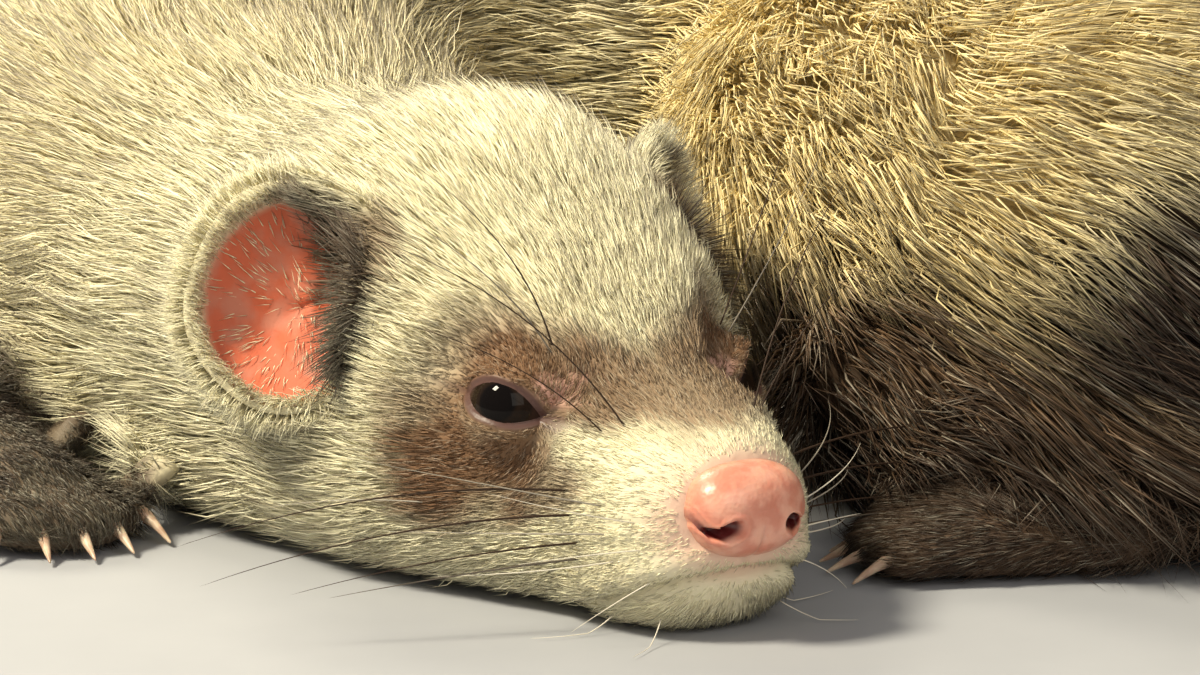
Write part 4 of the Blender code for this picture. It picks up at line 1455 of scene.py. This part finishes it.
# start (back, out, up), first way (forward, out, up), bend (forward, out, up), length, width, shade
WHISKERS_EACH_SIDE = (
    ((15.0, 10.7, 13.0), (-0.26, 0.95, 0.13), (-0.12, 0.00, -0.42), 38, 0.24, 0.0),
    ((14.0, 11.0, 11.0), (-0.26, 0.95, 0.05), (-0.12, 0.00, -0.36), 36, 0.24, 0.0),
    ((13.0, 10.8, 8.6), (-0.28, 0.95, -0.01), (-0.15, 0.00, -0.24), 28, 0.21, 0.0),
    ((13.5, 11.0, 7.0), (-0.28, 0.95, -0.05), (-0.15, 0.00, -0.12), 24, 0.21, 0.1),
    ((10.5, 10.4, 12.4), (-0.52, 0.82, 0.18), (-0.45, -0.25, -0.10), 24, 0.16, 0.3),
    ((9.5, 10.2, 10.0), (-0.45, 0.88, 0.02), (-0.50, -0.20, -0.10), 22, 0.16, 0.4),
    ((8.8, 9.8, 7.6), (-0.40, 0.88, -0.12), (-0.50, -0.20, 0.00), 18, 0.14, 0.9),
    ((7.0, 9.2, 11.4), (-0.25, 0.92, 0.20), (-0.50, -0.20, 0.00), 14, 0.12, 0.8),
    ((6.4, 9.0, 9.0), (-0.20, 0.95, 0.00), (-0.50, -0.20, -0.20), 12, 0.12, 1.0),
    ((6.0, 8.2, 6.0), (-0.10, 0.85, -0.35), (-0.40, -0.10, -0.30), 9, 0.11, 1.0),
    ((12.0, 8.6, 1.6), (0.10, 0.55, -0.30), (-0.50, 0.00, 0.45), 9, 0.11, 1.0),
    ((7.0, 6.6, 2.0), (0.45, 0.45, -0.35), (-0.20, 0.10, 0.35), 8, 0.11, 1.0),
    ((21.5, 9.4, 25.6), (0.10, 0.35, 0.90), (-0.75, 0.35, -0.30), 24, 0.15, 0.0),
    ((20.8, 9.9, 25.0), (0.05, 0.55, 0.80), (-0.80, 0.30, -0.30), 25, 0.14, 0.2),
    ((12.0, 6.5, 18.0), (-0.30, 0.45, 0.85), (-0.35, 0.45, -0.50), 35, 0.18, 0.0),
    ((13.2, 7.4, 17.0), (-0.25, 0.60, 0.75), (-0.30, 0.40, -0.50), 27, 0.15, 0.0),
    ((30.0, 18.6, 10.0), (-0.60, 0.78, 0.05), (-0.30, -0.30, -0.30), 16, 0.12, 0.5),
)


def whisker_path(start, way, bend, length, side):
    """Points of one whisker: it leaves along its way and turns more towards its bend."""
    place = head_place(start[0], start[1] * side, start[2])
    first = head_turn(way[0], way[1] * side, way[2])
    then = -HEAD_BACK * bend[0] + HEAD_LEFT * bend[1] * side + UP * bend[2]
    points = []
    for k in range(WHISKER_STEPS):
        share = k / (WHISKER_STEPS - 1)
        points.append(place.copy())
        turn = first + then * share * 1.1
        place = place + turn / np.linalg.norm(turn) * length / (WHISKER_STEPS - 1)
        place[2] = max(place[2], 0.3)
    return np.array(points)


def add_whiskers(side, word):
    """One side's whiskers, each a tapered tube round its own path."""
    corners, faces, shades = [], [], []
    for start, way, bend, length, width, pale in WHISKERS_EACH_SIDE:
        path = whisker_path(start, way, bend, length, side)
        tangent = unit(np.gradient(path, axis=0))
        flat = unit(np.cross(tangent, (0.3, 0.2, 1.0)))
        other = np.cross(tangent, flat)
        first = len(corners)
        for k in range(WHISKER_STEPS - 1):
            share = k / (WHISKER_STEPS - 1)
            radius = width / 2 * (1 - share) ** 0.8 + 0.012
            for j in range(WHISKER_SIDES):
                angle = 2 * math.pi * j / WHISKER_SIDES
                round_way = flat[k] * math.cos(angle) + other[k] * math.sin(angle)
                corners.append(path[k] + round_way * radius)
                shades.append(pale)
        corners.append(path[-1])
        shades.append(pale)
        for k in range(WHISKER_STEPS - 2):
            for j in range(WHISKER_SIDES):
                ring = first + k * WHISKER_SIDES
                a, b = ring + j, ring + (j + 1) % WHISKER_SIDES
                faces.append((a, b, b + WHISKER_SIDES, a + WHISKER_SIDES))
        last = first + (WHISKER_STEPS - 2) * WHISKER_SIDES
        for j in range(WHISKER_SIDES):
            faces.append((last + j, last + (j + 1) % WHISKER_SIDES, len(corners) - 1))
        faces.append(tuple(first + j for j in reversed(range(WHISKER_SIDES))))
    mesh = bpy.data.meshes.new("whiskers_" + word)
    mesh.from_pydata([tuple(p) for p in to_model(np.array(corners))], [], faces)
    obj = bpy.data.objects.new("whiskers_" + word, mesh)
    bpy.context.scene.collection.objects.link(obj)
    keep(obj, "pale", shades)
    face_outwards(obj)
    bpy.ops.object.shade_smooth()
    return obj


whisker_finish = Finish("stiff whisker", Roughness=0.55, Specular_IOR_Level=0.15)
streak = whisker_finish.noise(160.0)
dark_whisker = whisker_finish.mix((0.020, 0.012, 0.009), (0.06, 0.035, 0.022), streak)
pale_whisker = whisker_finish.mix((0.72, 0.66, 0.54), (0.85, 0.80, 0.68), streak)
pale = whisker_finish.attribute("pale")
whisker_finish.feed(Base_Color=whisker_finish.mix(dark_whisker, pale_whisker, pale))
for word, side in SIDES:
    whiskers = add_whiskers(side, word)
    shade(whiskers, whisker_finish)
    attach(whiskers, "root")
print("whiskers on each side:", len(WHISKERS_EACH_SIDE))

# %% [markdown]
# Claws are slim hooks of pale, slightly clear horn, pinker at the root where the quick shows. The
# solids have them in the right place but with few sides, so each is copied, made finer by a
# subdivision surface, and finished as horn. The twenty share one finish and one colour rule.

# %% Claws
claw_finish = Finish("claw horn", Roughness=0.30, Subsurface_Weight=0.15, Subsurface_Scale=0.001)
horn_grain = claw_finish.noise(700.0, 3.0)
streaks = horn_grain.between(0.3, 0.7)
claw_finish.feed(Base_Color=claw_finish.mix((0.42, 0.27, 0.19), (0.66, 0.52, 0.38), streaks))
claw_finish.bump(horn_grain, 0.15, 0.0001)
for name in [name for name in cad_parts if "_claw_" in name]:
    claw = node_copy(name, "horn_" + name)
    modify(claw, "SUBSURF", levels=2, render_levels=2)
    bpy.ops.object.shade_smooth()
    shade(claw, claw_finish)
    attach(claw, "root")
    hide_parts(name)
print("claws finished")

# %% Measure and finish
print("skin had a doubled face to clear:", skin.data.validate())
